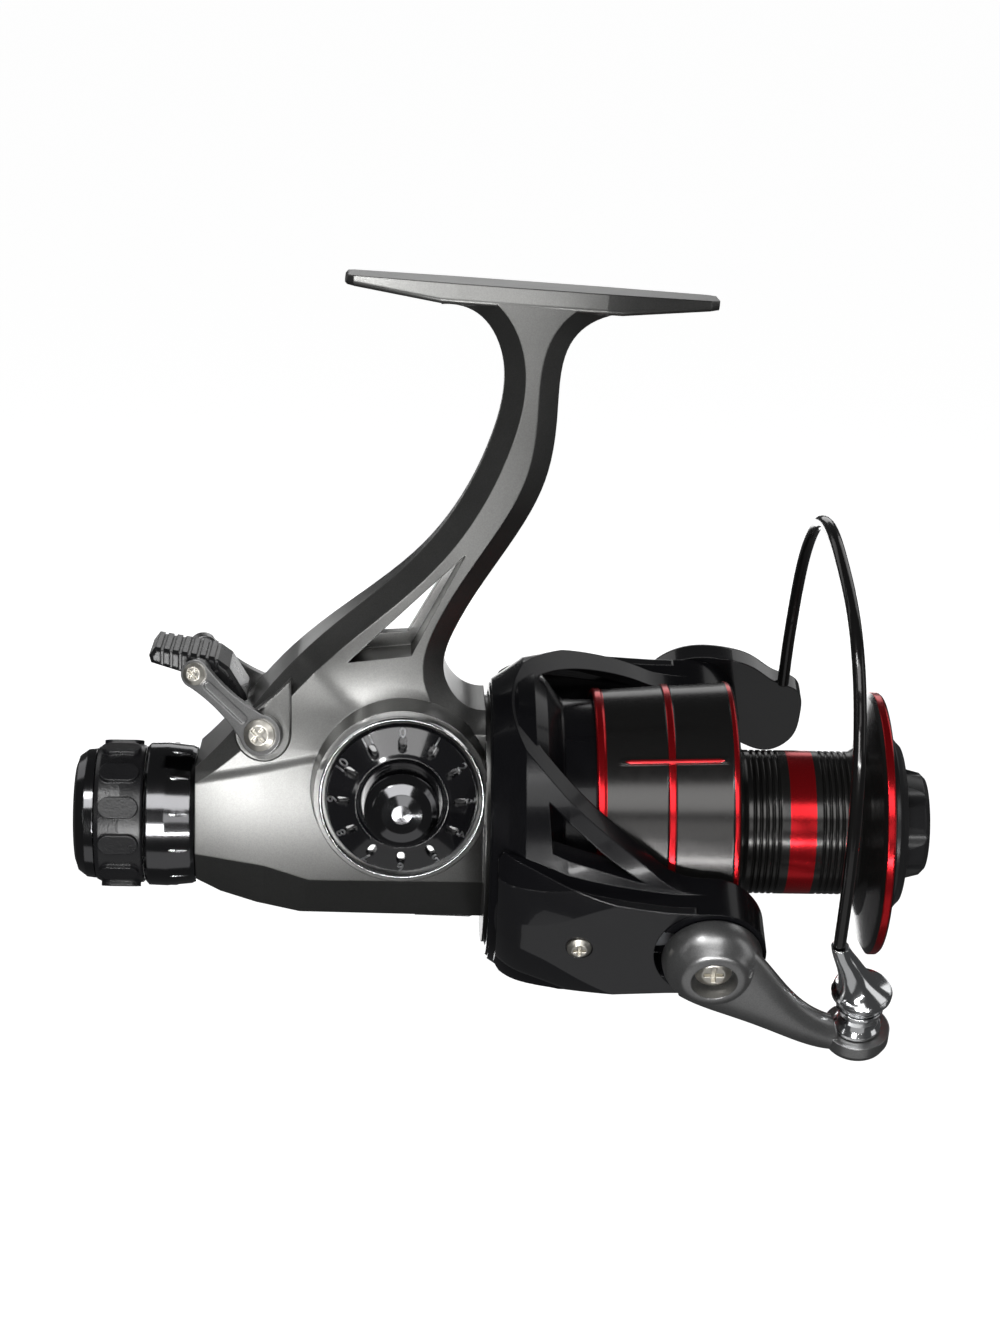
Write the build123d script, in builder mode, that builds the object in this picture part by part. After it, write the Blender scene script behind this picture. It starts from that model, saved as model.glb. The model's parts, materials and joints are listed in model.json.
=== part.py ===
from build123d import *
import os
from math import cos, pi, radians, sin, sqrt

# A free-spool spinning reel with its handle on the +Y side.  Millimetres, +Z up towards the rod.
# The origin is the centre of the foot's top face; +X runs along the main shaft towards the spool.

os.makedirs("parts", exist_ok=True)

# ---------------------------------------------------------------- driving dimensions
FOOT_END = 35.0          # half the foot's length
FOOT_HALF = 6.5          # half its width
FOOT_TIP = 1.9           # its thickness at the ends
FOOT_MIDDLE = 4.0        # its thickness beside the stem
FOOT_TILT = 3.0          # degrees: the foot's front end dips towards the shaft
SHAFT_Z = -103.7         # height of the main shaft's axis
CRANK_X = -23.0          # the crank axis runs along Y through this point
CRANK_Z = -94.0
BODY_HALF = 14.6         # half the width of the gear case
COVER_SPLIT = 8.6        # the side cover begins at this Y
BODY_REAR = -62.2
BODY_FRONT = -7.2
RUN = 0.05               # radial clearance of a running fit
SHAFT_R = 2.5
PINION_R = 3.6
AXLE_R = 3.5             # the drive gear's axle
ROTOR_REAR = -6.4
ROTOR_R = 29.7
CUP_R = 23.4             # the rotor's inner cup, inside the spool's skirt
ARM_ANGLE = 26.0         # the near rotor arm lies this far below the horizontal
PIVOT_X = 35.0           # the bail turns about an axis through both arms at this X
ARM_TOP = 37.2           # radius at which the bail arm sits on the rotor arm
SKIRT_REAR = 13.6
SKIRT_FRONT = 40.0
SKIRT_R = 27.2
DRUM_R = 14.0
DRUM_REAR = 43.3
DRUM_FRONT = 64.0
LIP_R = 25.6
LIP_FRONT = 70.0
WIRE_R = 1.2
WIRE_HALF = 38.0         # the bail wire's half width, along the arms
WIRE_RISE = 61.4         # its height above the pivot axis
ROLLER_X = 64.0
LEVER_X = -49.3          # pivot of the free-spool lever
LEVER_Z = -83.7
DIAL_SEAT = 20.4         # face of the boss that carries the notched dial
DIAL_R = 14.5
EYE_R = 9.4              # eye of the bail arm
TIP_R = 10.2             # round tip of the rotor's arms, about the pivot
COVER_GAP = 0.5          # the arm covers end this far outside the round tips
PIVOT_SEAT = 40.6        # the bail's pivot screws seat at this distance from the shaft
CHAMBER_R = 11.8         # the spool's drag chamber
COVER_SCREW_X = 10.4
TRIP_X = 19.0
SKIRT_LINE_ANGLE = 139.5 # degrees: where the first axial line on the skirt stands
SKIRT_TAPER = 0.07       # growth of the skirt's radius per millimetre
STEM_BEVEL = 3.9         # the stem's four long corners are cut back this far
RECESS_FLOOR = 1.4       # half the web left between the stem's two recesses
INSIDE = 11.6            # half the width of the gear case's cavity
BEARING_R = 7.5
BOLT_R = 2.0             # the handle bolt inside the hollow axle
SCREW_R = 1.2
ROD_R = 1.0
ROD_Y = 2.6
ROD_Z = -110.5
SWITCH_X = -17.0
GEAR_R = 13.2
GEAR_TEETH = 40
OSC_SPAN = 18.0          # distance between the oscillation pinion and gear
OSC_THROW = 8.4          # the crank pin's distance from the oscillation gear's centre
OSC_X = CRANK_X - 17.6
OSC_Z = CRANK_Z - sqrt(OSC_SPAN ** 2 - 17.6 ** 2)
HANDLE_DROP = 15.0       # degrees: the handle points forward and this far down
HANDLE_REACH = 52.0
CAVITY = [(-59.8, -92.6), (-54.2, -85.6), (-48.4, -78.8), (-43.4, -77), (-18, -77), (-13.5, -82.5),
          (-9.6, -82.5), (-9.6, -118.6), (-42.4, -118.2), (-50.2, -116.8), (-56.6, -114.8), (-59.8, -112.8)]

# ---------------------------------------------------------------- axes and planes
SHAFT = Axis((0, 0, SHAFT_Z), (1, 0, 0))
CRANK = Axis((CRANK_X, 0, CRANK_Z), (0, 1, 0))
tilt = radians(FOOT_TILT)
arm_turn = radians(ARM_ANGLE)
ARM = Vector(0, -cos(arm_turn), -sin(arm_turn))     # from the shaft out along the near arm
RISE = Vector(0, -sin(arm_turn), cos(arm_turn))     # square to the arm, towards the bail's apex
FOOT_PLANE = Plane(origin=(0, 0, 0), x_dir=(cos(tilt), 0, -sin(tilt)), z_dir=(sin(tilt), 0, cos(tilt)))
SHAFT_PROFILE = Plane(origin=(0, 0, SHAFT_Z), x_dir=(1, 0, 0), z_dir=(0, -1, 0))
CRANK_PROFILE = Plane(origin=(CRANK_X, 0, CRANK_Z), x_dir=(0, 1, 0), z_dir=(1, 0, 0))
MESH_DIR = Vector(OSC_X - CRANK_X, 0, OSC_Z - CRANK_Z).normalized()
GAP_DIR = MESH_DIR.rotate(Axis.Y, 180 / 24)         # half a tooth round, so that tooth meets gap
ARM_PROFILE = Plane(origin=(0, 0, SHAFT_Z), x_dir=(1, 0, 0), z_dir=-RISE)


def across(x):
    """Plane square to the main shaft at x, facing the spool; local x is +Y, local y is +Z."""
    return Plane(origin=(x, 0, SHAFT_Z), x_dir=(0, 1, 0), z_dir=(1, 0, 0))


def side(y, x=0.0, z=0.0):
    """Plane square to Y, facing -Y; local x is +X, local y is +Z."""
    return Plane(origin=(x, y, z), x_dir=(1, 0, 0), z_dir=(0, -1, 0))


def on_arm(x, t, v):
    """Point at x along the shaft, t towards the bail's apex and v out along the near arm."""
    return Vector(x, 0, SHAFT_Z) + RISE * t + ARM * v


def along_rise(x, t, v):
    """Plane through a point of the bail, facing the bail's apex; local x is +X."""
    return Plane(origin=on_arm(x, t, v), x_dir=(1, 0, 0), z_dir=RISE)


def arm_face(v, x=0.0, t=0.0):
    """Plane square to the arms at distance v; local x is +X, local y is towards the bail's apex."""
    return Plane(origin=on_arm(x, t, v), x_dir=(1, 0, 0), z_dir=ARM)


def disc(plane, radius, thickness, mode=Mode.ADD):
    """Round slab that rises from the plane along its normal."""
    with BuildSketch(plane) as outline:
        Circle(radius)
    extrude(outline.sketch, amount=thickness, mode=mode)


def ring(plane, outer, inner, thickness):
    """Flat ring that rises from the plane along its normal."""
    with BuildSketch(plane) as outline:
        Circle(outer)
        Circle(inner, mode=Mode.SUBTRACT)
    extrude(outline.sketch, amount=thickness)


def turned(plane, points, axis, mode=Mode.ADD):
    """Solid of revolution from a closed outline drawn in a plane that holds the axis."""
    with BuildSketch(plane) as outline:
        with BuildLine():
            Polyline(*points, close=True)
        make_face()
    revolve(outline.sketch, axis=axis, mode=mode)


def slab(plane, points, amount, both=False, mode=Mode.ADD):
    """Straight-sided outline extruded from its plane."""
    with BuildSketch(plane) as outline:
        with BuildLine():
            Polyline(*points, close=True)
        make_face()
    extrude(outline.sketch, amount=amount, both=both, mode=mode)


def screw(plane, head_r, head_h, shank_r, shank_l):
    """Cross-head screw whose head rises from the plane and whose shank goes below it."""
    disc(plane, head_r, head_h * 0.55)
    rim = plane.offset(head_h * 0.55)
    with BuildSketch(rim) as crown_base:
        Circle(head_r)
    with BuildSketch(plane.offset(head_h)) as crown_top:
        Circle(head_r * 0.62)
    loft([crown_base.sketch, crown_top.sketch])
    disc(plane, shank_r, -shank_l)
    with BuildSketch(plane.offset(head_h)) as cross:
        Rectangle(head_r * 1.05, head_r * 0.26)
        Rectangle(head_r * 0.26, head_r * 1.05)
    extrude(cross.sketch, amount=-head_h * 0.6, mode=Mode.SUBTRACT)


def ball_bearing(plane, outer, bore, width, count=8):
    """Outer race, inner race and balls as separate solids."""
    middle = (outer + bore) / 2
    ball_r = (outer - bore) * 0.23
    race = (outer - bore) * 0.2
    ring(plane, outer, outer - race, width)
    ring(plane, bore + race, bore, width)
    with Locations(plane.offset(width / 2)):
        with PolarLocations(middle, count):
            Sphere(ball_r)


# ---------------------------------------------------------------- body casting
# The gear case, stem and foot are one casting.  Its blank is the side outline crossed with the
# front outline and the top outline; the side cover is then split from it.
REAR_EDGE = [(-17, -3.6), (-8.6, -6.6), (-5.4, -13), (-7.2, -29), (-20.0, -50.4), (-35.0, -63.2),
             (-45.8, -73.0), (-55.6, -84.6), (BODY_REAR, -91.4)]
FRONT_EDGE = [(BODY_FRONT, -79.6), (-12.6, -77.6), (-15.4, -72), (-13.4, -64.8), (-3.6, -49.6),
              (3.2, -37), (5.3, -24), (6.7, -12.2), (17.5, -4.6)]
BELLY = [(BODY_REAR, -114.2), (-57.6, -116.8), (-50.6, -119.0), (-42.4, -120.5), (BODY_FRONT, -121.1)]

with BuildPart() as foot:
    with BuildSketch(FOOT_PLANE):
        with BuildLine():
            Polyline((-FOOT_END, -4), (1.6 - FOOT_END, -5.2), (-14, -FOOT_HALF), (14, -FOOT_HALF),
                     (FOOT_END - 1.6, -5.2), (FOOT_END, -4), (FOOT_END, 4), (FOOT_END - 1.6, 5.2),
                     (14, FOOT_HALF), (-14, FOOT_HALF), (1.6 - FOOT_END, 5.2), (-FOOT_END, 4), close=True)
        make_face()
    extrude(amount=-6)
    with BuildSketch(Plane(origin=(0, 0, 0), x_dir=FOOT_PLANE.x_dir, z_dir=(0, -1, 0))):
        with BuildLine():
            Polyline((-FOOT_END, 0), (FOOT_END, 0), (FOOT_END, -FOOT_TIP), (17, -FOOT_MIDDLE),
                     (-17, -FOOT_MIDDLE), (-FOOT_END, -FOOT_TIP), close=True)
        make_face()
    extrude(amount=2 * FOOT_HALF, both=True, mode=Mode.INTERSECT)
    chamfer(foot.faces().sort_by(Axis.Z)[-1].edges(), 0.5)
    under_edges = [edge for edge in foot.edges()
                   if edge.center().Z < -FOOT_TIP * 0.9 - edge.center().X * sin(tilt)
                   and abs(edge.center().Y) > 4.4]
    fillet(under_edges, 1.2)


# Bevel on the dial side's lower corner, drawn square to the belly where that rises to the rear.
REAR_RISE = Plane(origin=(-42.4, 0, -120.5), x_dir=(0, 1, 0), z_dir=(-20, 0, 6.3))
BEVEL_LOW = (-7.6, 1.0)      # its lower edge, across and down from the belly's corner
BEVEL_HIGH = (-16, -10.3)    # its upper edge, on the case's flat side
WALL_SET = 2.6               # how far the cavity's bevel lies inside the outer one


def rear_bevel(depth):
    """Cuts that corner away, along a face lying depth inside the casting's surface."""
    low = (BEVEL_LOW[0] + depth, BEVEL_LOW[1])
    high = (BEVEL_HIGH[0] + depth, BEVEL_HIGH[1])
    clear = [(-30, high[1]), (-30, 12), (low[0], 12)]
    slab(REAR_RISE.offset(-4), [low, high, *clear], 40, mode=Mode.SUBTRACT)


with BuildPart() as casting:
    with BuildSketch(side(BODY_HALF)):
        with BuildLine():
            Spline(*REAR_EDGE)
            Polyline(REAR_EDGE[-1], *BELLY, FRONT_EDGE[0])
            Spline(*FRONT_EDGE)
            Polyline(FRONT_EDGE[-1], (17, -3), (-17, -2), REAR_EDGE[0])
        make_face()
    extrude(amount=2 * BODY_HALF)
    with BuildSketch(Plane.YZ.offset(-90)):
        with BuildLine():
            Line((-6.4, -3), (6.4, -3))
            Spline((6.4, -3), (5.6, -12), (5.4, -30), (6.6, -50), (9.6, -63), (13.2, -76), (BODY_HALF, -88))
            Polyline((BODY_HALF, -88), (BODY_HALF, -112.3), (7.6, -121.6), (-7.6, -121.6),
                     (-BODY_HALF, -112.3), (-BODY_HALF, -88))
            Spline((-BODY_HALF, -88), (-13.2, -76), (-9.6, -63), (-6.6, -50), (-5.4, -30),
                   (-5.6, -12), (-6.4, -3))
        make_face()
    extrude(amount=180, mode=Mode.INTERSECT)
    stem_corners = [edge for edge in casting.edges()
                    if abs(edge.center().Y) > 5 and edge.bounding_box().size.Z > 3
                    and edge.bounding_box().size.X > 1]
    chamfer(stem_corners, STEM_BEVEL)
    slab(Plane.XY.offset(-130), [(BODY_REAR, -12.8), (-49, -BODY_HALF), (20, -BODY_HALF),
                                 (20, BODY_HALF), (-49, BODY_HALF), (BODY_REAR, 12.8)],
         amount=130, mode=Mode.INTERSECT)
    rear_bevel(0)
    add(foot.part)
    # boss under the notched dial, cut flat beside the rotor
    turned(CRANK_PROFILE, [(-DIAL_SEAT, 0), (-DIAL_SEAT, 16.6), (-13, 17.4), (-13, 0)], CRANK)
    # boss on the handle side
    turned(CRANK_PROFILE, [(13, 0), (13, 12.6), (18.0, 11.4), (18.0, 0)], CRANK)
    slab(side(30), [(BODY_FRONT, -60), (10, -60), (10, -140), (BODY_FRONT, -140)], 60, mode=Mode.SUBTRACT)
    # three-cornered recess in both faces of the stem, with a window through its middle
    for face in (-1, 1):
        slab(side(face * 30), [(-11.6, -50.4), (-33.6, -70.4), (-21.6, -69.0)],
             face * (30 - RECESS_FLOOR), mode=Mode.SUBTRACT)
    slab(side(20), [(-15.4, -54.6), (-28.6, -66.8), (-22.2, -66.4)], 40, mode=Mode.SUBTRACT)

with BuildPart() as cavity:
    slab(side(15), CAVITY, 30)
    slab(Plane.YZ.offset(-90), [(INSIDE, -70), (INSIDE, -110.4), (5.5, -119), (-5.5, -119),
                                (-INSIDE, -110.8), (-INSIDE, -70)], 180, mode=Mode.INTERSECT)
    rear_bevel(WALL_SET)

with BuildPart() as cover_zone:
    with BuildSketch(side(COVER_SPLIT)) as cover_outline:
        with BuildLine():
            Polyline(*CAVITY, close=True)
        make_face()
        offset(amount=1.3, kind=Kind.INTERSECTION)
        with Locations((-35, -126.5)):
            Rectangle(80, 20, mode=Mode.SUBTRACT)
    extrude(amount=-20)

# screw columns: x, z and length; the third is a stub on the sloping wall, clear of the slider
FULL_COLUMN = COVER_SPLIT + INSIDE
COLUMNS = [(-56.5, -95.5, FULL_COLUMN), (-12.8, -113.9, FULL_COLUMN), (-50.5, -113.9, 4.0),
           (-41.5, -80.2, FULL_COLUMN)]

with BuildPart() as housing:
    add(casting.part)
    add(cavity.part, mode=Mode.SUBTRACT)
    add(cover_zone.part, mode=Mode.SUBTRACT)
    for x, z, reach in COLUMNS:
        disc(side(COVER_SPLIT, x, z), 2.4, reach)
        disc(side(COVER_SPLIT, x, z), SCREW_R, 8, mode=Mode.SUBTRACT)
    # seat of the near bearing
    disc(side(-8.4, CRANK_X, CRANK_Z), 9.4, 4)
    disc(side(-8.4, CRANK_X, CRANK_Z), BEARING_R, 4.1, mode=Mode.SUBTRACT)
    disc(side(0, CRANK_X, CRANK_Z), 5.4, 30, mode=Mode.SUBTRACT)
    # post that the oscillation gear turns on
    disc(side(-5.0, OSC_X, OSC_Z), 2.0, INSIDE - 5.0)
    # round flange and nose inside the rotor's rear
    disc(across(BODY_FRONT), 24.0, 2.6)
    disc(across(BODY_FRONT), 17.2, 11.2)
    disc(across(-12), 5.0, 20, mode=Mode.SUBTRACT)
    disc(across(-4.6), 8.5, 20, mode=Mode.SUBTRACT)
    disc(across(0.4), 11.0, 20, mode=Mode.SUBTRACT)
    with BuildSketch(across(4.0)) as plate_holes:
        with PolarLocations(14.2, 3):
            Circle(SCREW_R)
    extrude(plate_holes.sketch, amount=-7, mode=Mode.SUBTRACT)
    # rear hole for the tension sleeve, holes for the lever's cross shaft and the switch's stem
    disc(across(BODY_REAR), 5.2, 5, mode=Mode.SUBTRACT)
    disc(side(20, LEVER_X, LEVER_Z), 1.65, 40, mode=Mode.SUBTRACT)
    disc(Plane(origin=(SWITCH_X, 0, -126)), 1.65, 8, mode=Mode.SUBTRACT)
    for y in (-ROD_Y, ROD_Y):
        rod_hole = Plane(origin=(-61.4, y, ROD_Z), x_dir=(0, 1, 0), z_dir=(1, 0, 0))
        disc(rod_hole, ROD_R, 53, mode=Mode.SUBTRACT)
housing.part.label = "housing"
export_step(housing.part, "parts/housing.step")

with BuildPart() as side_cover:
    add(casting.part)
    add(cover_zone.part, mode=Mode.INTERSECT)
    add(cavity.part, mode=Mode.SUBTRACT)
    for x, z, _ in COLUMNS:
        disc(side(INSIDE + 0.5, x, z), 2.4, INSIDE + 0.5 - COVER_SPLIT)
        disc(side(30, x, z), SCREW_R + RUN, 25, mode=Mode.SUBTRACT)
        disc(side(30, x, z), 2.5, 30 - BODY_HALF + 1.7, mode=Mode.SUBTRACT)
    disc(side(13.4, CRANK_X, CRANK_Z), 9.4, 4)
    disc(side(13.5, CRANK_X, CRANK_Z), BEARING_R, 4.5, mode=Mode.SUBTRACT)
    disc(side(30, CRANK_X, CRANK_Z), 5.4, 30, mode=Mode.SUBTRACT)
    disc(side(20, LEVER_X, LEVER_Z), 1.65, 40, mode=Mode.SUBTRACT)
side_cover.part.label = "side_cover"
export_step(side_cover.part, "parts/side_cover.step")

with BuildPart() as cover_screws:
    for x, z, _ in COLUMNS:
        seat = Plane(origin=(x, BODY_HALF - 1.7, z), x_dir=(1, 0, 0), z_dir=(0, 1, 0))
        screw(seat, 2.2, 1.5, SCREW_R, 8)
cover_screws.part.label = "cover_screws"
export_step(cover_screws.part, "parts/cover_screws.step")

# ---------------------------------------------------------------- bearings and the one-way clutch
with BuildPart() as drive_bearings:
    ball_bearing(side(-8.5, CRANK_X, CRANK_Z), BEARING_R, AXLE_R + RUN, 4)
    ball_bearing(side(13.4, CRANK_X, CRANK_Z), BEARING_R, AXLE_R + RUN, 4)
drive_bearings.part.label = "drive_bearings"
export_step(drive_bearings.part, "parts/drive_bearings.step")

with BuildPart() as pinion_bearing:
    ball_bearing(across(-4.5), 8.5, PINION_R + RUN, 4.5, 9)
pinion_bearing.part.label = "pinion_bearing"
export_step(pinion_bearing.part, "parts/pinion_bearing.step")

with BuildPart() as clutch:
    ring(across(0.5), 11.0, 8.3, 3.4)
    with BuildSketch(across(0.7)) as rollers:
        with PolarLocations(6.95, 8):
            Circle(1.25)
    extrude(rollers.sketch, amount=3.0)
clutch.part.label = "one_way_clutch"
export_step(clutch.part, "parts/one_way_clutch.step")

with BuildPart() as clutch_plate:
    ring(across(4.0), 16.4, 6.2, 1.1)
    with BuildSketch(across(4.0)) as plate_screw_holes:
        with PolarLocations(14.2, 3):
            Circle(SCREW_R + RUN)
    extrude(plate_screw_holes.sketch, amount=2, mode=Mode.SUBTRACT)
clutch_plate.part.label = "clutch_plate"
export_step(clutch_plate.part, "parts/clutch_plate.step")

with BuildPart() as plate_screws:
    for turn in range(3):
        angle = 2 * pi * turn / 3
        centre = (5.1, 14.2 * cos(angle), SHAFT_Z + 14.2 * sin(angle))
        screw(Plane(origin=centre, x_dir=(0, 1, 0), z_dir=(1, 0, 0)), 2.0, 1.2, SCREW_R, 6)
plate_screws.part.label = "clutch_plate_screws"
export_step(plate_screws.part, "parts/clutch_plate_screws.step")

with BuildPart() as guide_rods:
    for y in (-ROD_Y, ROD_Y):
        disc(Plane(origin=(-61.2, y, ROD_Z), x_dir=(0, 1, 0), z_dir=(1, 0, 0)), ROD_R, 52.4)
guide_rods.part.label = "guide_rods"
export_step(guide_rods.part, "parts/guide_rods.step")

# ---------------------------------------------------------------- crank train
with BuildPart() as drive_gear:
    disc(side(13.4, CRANK_X, CRANK_Z), AXLE_R, 26.8)
    disc(side(9.2, CRANK_X, CRANK_Z), 6.0, 3.6)
    disc(side(8.2, CRANK_X, CRANK_Z), GEAR_R, 2.6)
    with BuildSketch(side(5.6, CRANK_X, CRANK_Z)) as face_teeth:
        with PolarLocations(GEAR_R - 1.7, GEAR_TEETH):
            Rectangle(3.0, 0.9)
    extrude(face_teeth.sketch, amount=0.9)
    with BuildSketch(side(8.2, CRANK_X, CRANK_Z)) as lightening:
        with PolarLocations(8.4, 6):
            Circle(1.5)
    extrude(lightening.sketch, amount=2.6, mode=Mode.SUBTRACT)
    disc(side(14, CRANK_X, CRANK_Z), BOLT_R + RUN, 28, mode=Mode.SUBTRACT)
drive_gear.part.label = "drive_gear"
export_step(drive_gear.part, "parts/drive_gear.step")


def spur(plane, teeth, width):
    """Spur gear of module 1 with straight-flanked teeth and room for backlash."""
    pitch_r = teeth / 2
    root_r = pitch_r - 1.25
    tip_r = pitch_r + 0.9
    disc(plane, root_r, width)
    with BuildSketch(plane) as tooth_ring:
        with PolarLocations(0, teeth):
            with BuildLine():
                Polyline((root_r - 0.3, -1.05), (pitch_r, -0.66), (tip_r, -0.3),
                         (tip_r, 0.3), (pitch_r, 0.66), (root_r - 0.3, 1.05), close=True)
            make_face()
    extrude(tooth_ring.sketch, amount=width)


with BuildPart() as osc_pinion:
    spur(Plane(origin=(CRANK_X, -5.4, CRANK_Z), x_dir=MESH_DIR, z_dir=(0, -1, 0)), 12, 2.8)
    disc(side(0, CRANK_X, CRANK_Z), AXLE_R, 20, mode=Mode.SUBTRACT)
osc_pinion.part.label = "oscillation_pinion"
export_step(osc_pinion.part, "parts/oscillation_pinion.step")

with BuildPart() as osc_gear:
    spur(Plane(origin=(OSC_X, -5.4, OSC_Z), x_dir=GAP_DIR, z_dir=(0, -1, 0)), 24, 2.8)
    disc(side(0, OSC_X, OSC_Z), 2.0 + RUN, 20, mode=Mode.SUBTRACT)
    # crank pin at the back of its circle, which stands in front of the slider's slot
    disc(side(-4.6, OSC_X - OSC_THROW, OSC_Z), 1.4, 1.0)
osc_gear.part.label = "oscillation_gear"
export_step(osc_gear.part, "parts/oscillation_gear.step")

# The notched dial is the head of the long bolt that runs through the axle into the handle.
with BuildPart() as dial:
    turned(CRANK_PROFILE, [(-24.0, 0), (-24.0, 7.6), (-25.0, 8.6), (-24.5, 9.4), (-22.0, 14.0),
                           (-20.6, DIAL_R), (-20.6, 5.0), (-13.6, 5.0), (-13.6, BOLT_R),
                           (30, BOLT_R), (30, 0)], CRANK)
    with BuildSketch(side(-30, CRANK_X, CRANK_Z)) as notches:
        with PolarLocations(10.9, 12):
            SlotOverall(2.6, 1.5)
    extrude(notches.sketch, amount=-8.6, mode=Mode.SUBTRACT)
dial.part.label = "handle_bolt_dial"
export_step(dial.part, "parts/handle_bolt_dial.step")

with BuildPart() as dial_dome:
    turned(CRANK_PROFILE, [(-24.0, 0), (-24.0, 7.0), (-30.0, 7.0), (-30.7, 6.5), (-31.6, 5.6),
                           (-32.5, 3.8), (-33.0, 1.8), (-33.1, 0)], CRANK)
dial_dome.part.label = "dial_dome"
export_step(dial_dome.part, "parts/dial_dome.step")

with BuildPart() as dial_ring:
    turned(CRANK_PROFILE, [(-DIAL_SEAT, 14.9), (-DIAL_SEAT, 15.6), (-21.6, 15.6), (-22.2, 15.25),
                           (-21.6, 14.9)], CRANK)
dial_ring.part.label = "dial_trim_ring"
export_step(dial_ring.part, "parts/dial_trim_ring.step")

# ---------------------------------------------------------------- handle
HANDLE_DIR = Vector(cos(radians(HANDLE_DROP)), 0, -sin(radians(HANDLE_DROP)))
KNOB_X = CRANK_X + HANDLE_REACH * HANDLE_DIR.X
KNOB_Z = CRANK_Z + HANDLE_REACH * HANDLE_DIR.Z
KNOB_PROFILE = Plane(origin=(KNOB_X, 0, KNOB_Z), x_dir=(0, 1, 0), z_dir=(1, 0, 0))
KNOB = Axis((KNOB_X, 0, KNOB_Z), (0, 1, 0))

with BuildPart() as shank:
    turned(CRANK_PROFILE, [(13.6, 0), (13.6, 5.0), (18.4, 5.0), (18.4, 7.4), (20.4, 7.4), (21.4, 5.6),
                           (44.5, 4.6), (44.5, 0)], CRANK)
    disc(side(31, CRANK_X, CRANK_Z), BOLT_R + 0.02, 20, mode=Mode.SUBTRACT)
shank.part.label = "handle_shank"
export_step(shank.part, "parts/handle_shank.step")

with BuildPart() as handle_arm:
    slab(Plane(origin=(CRANK_X, 0, CRANK_Z), x_dir=HANDLE_DIR, z_dir=HANDLE_DIR.cross(Vector(0, 1, 0))),
         [(-7, 40), (2, 40), (14, 48.6), (24, 51), (HANDLE_REACH + 6, 52.4), (HANDLE_REACH + 6, 56.4),
          (22, 55.4), (10, 53.4), (-1, 46), (-7, 46)], 7, both=True)
    slab(Plane(origin=(CRANK_X, 0, CRANK_Z), x_dir=HANDLE_DIR, z_dir=(0, 1, 0)),
         [(-7, -4), (-4, -7), (4, -7), (16, -4.4), (HANDLE_REACH - 10, -4.0), (HANDLE_REACH - 2, -5.6),
          (HANDLE_REACH + 4, -4.6), (HANDLE_REACH + 6, -2), (HANDLE_REACH + 6, 2),
          (HANDLE_REACH + 4, 4.6), (HANDLE_REACH - 2, 5.6), (HANDLE_REACH - 10, 4.0), (16, 4.4), (4, 7),
          (-4, 7), (-7, 4)], 60, mode=Mode.INTERSECT)
    turned(CRANK_PROFILE, [(38, 0), (38, 4.8), (44.6, 4.8), (44.6, 0)], CRANK, mode=Mode.SUBTRACT)
    disc(Plane(origin=(KNOB_X, 50, KNOB_Z), x_dir=(1, 0, 0), z_dir=(0, 1, 0)), 2.2, 10, mode=Mode.SUBTRACT)
handle_arm.part.label = "handle_arm"
export_step(handle_arm.part, "parts/handle_arm.step")

with BuildPart() as knob_spindle:
    turned(KNOB_PROFILE, [(52.0, 0), (52.0, 2.2), (57.0, 2.2), (57.0, 3.6), (58.0, 3.6), (58.0, 2.2),
                          (84.0, 2.2), (84.0, 4.0), (85.2, 4.0), (85.2, 0)], KNOB)
knob_spindle.part.label = "knob_spindle"
export_step(knob_spindle.part, "parts/knob_spindle.step")

with BuildPart() as knob:
    with BuildSketch(KNOB_PROFILE) as knob_outline:
        with BuildLine():
            Polyline((83.8, 2.2 + RUN), (58.2, 2.2 + RUN), (58.2, 5.4), (60.0, 6.2))
            Spline((60.0, 6.2), (68, 6.6), (78, 9.2), (85, 8.2), (87.6, 5.2),
                   tangents=[(1, 0.1), (0.4, -1)])
            Polyline((87.6, 5.2), (83.8, 4.6), (83.8, 2.2 + RUN))
        make_face()
    revolve(knob_outline.sketch, axis=KNOB)
    with BuildSketch(Plane(origin=(KNOB_X, 62, KNOB_Z), x_dir=(1, 0, 0), z_dir=(0, 1, 0))) as flutes:
        with PolarLocations(10.6, 10):
            Circle(2.2)
    extrude(flutes.sketch, amount=18, mode=Mode.SUBTRACT)
knob.part.label = "handle_knob"
export_step(knob.part, "parts/handle_knob.step")

with BuildPart() as knob_cap:
    turned(KNOB_PROFILE, [(85.8, 0), (85.8, 4.9), (87.5, 5.1), (88.4, 3.2), (88.7, 0)], KNOB)
knob_cap.part.label = "knob_cap"
export_step(knob_cap.part, "parts/knob_cap.step")

# ---------------------------------------------------------------- rotor
# Two arms rise from the rear cup.  Each is a panel with a thin strut at either side, which sweeps
# from the cup's edge to the arm's tip and leaves a three-cornered window beside the panel.
ARM_OUTLINE = [(-6, 30.5), (0.5, 28.4), (12, 21.8), (23.3, 14.4), (PIVOT_X, TIP_R)]
WINDOW = [(4.2, 23.6), (8.4, 21.2), (12.6, 18.2), (17.6, 14.8), (22.4, 12.0)]   # its outer side
WINDOW_FOOT = (5.0, 16.4)
PANEL = [(-6, 15.4), (0, 15.0), (6, 13.6), (16, 11.6), (26, 10.4), (PIVOT_X, TIP_R)]
PANEL_TOP = [(-4.8, 29.4), (-2.4, 31.8), (2, 33.8), (8, 35.4), (16, 36.4), (25.6, 37.0), (33, 37.1)]
SHOULDER = [(-6, 27.4), (-4.8, 29.5), (-2.4, 31.9), (2, 34.0), (8, 36.0), (16, 38.0), (26, 39.6), (50, 41)]
COVER_THICK = 1.7
POCKET = [(6, -5.6), (30, -5.6), (30, 5.6), (6, 5.6)]


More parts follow.
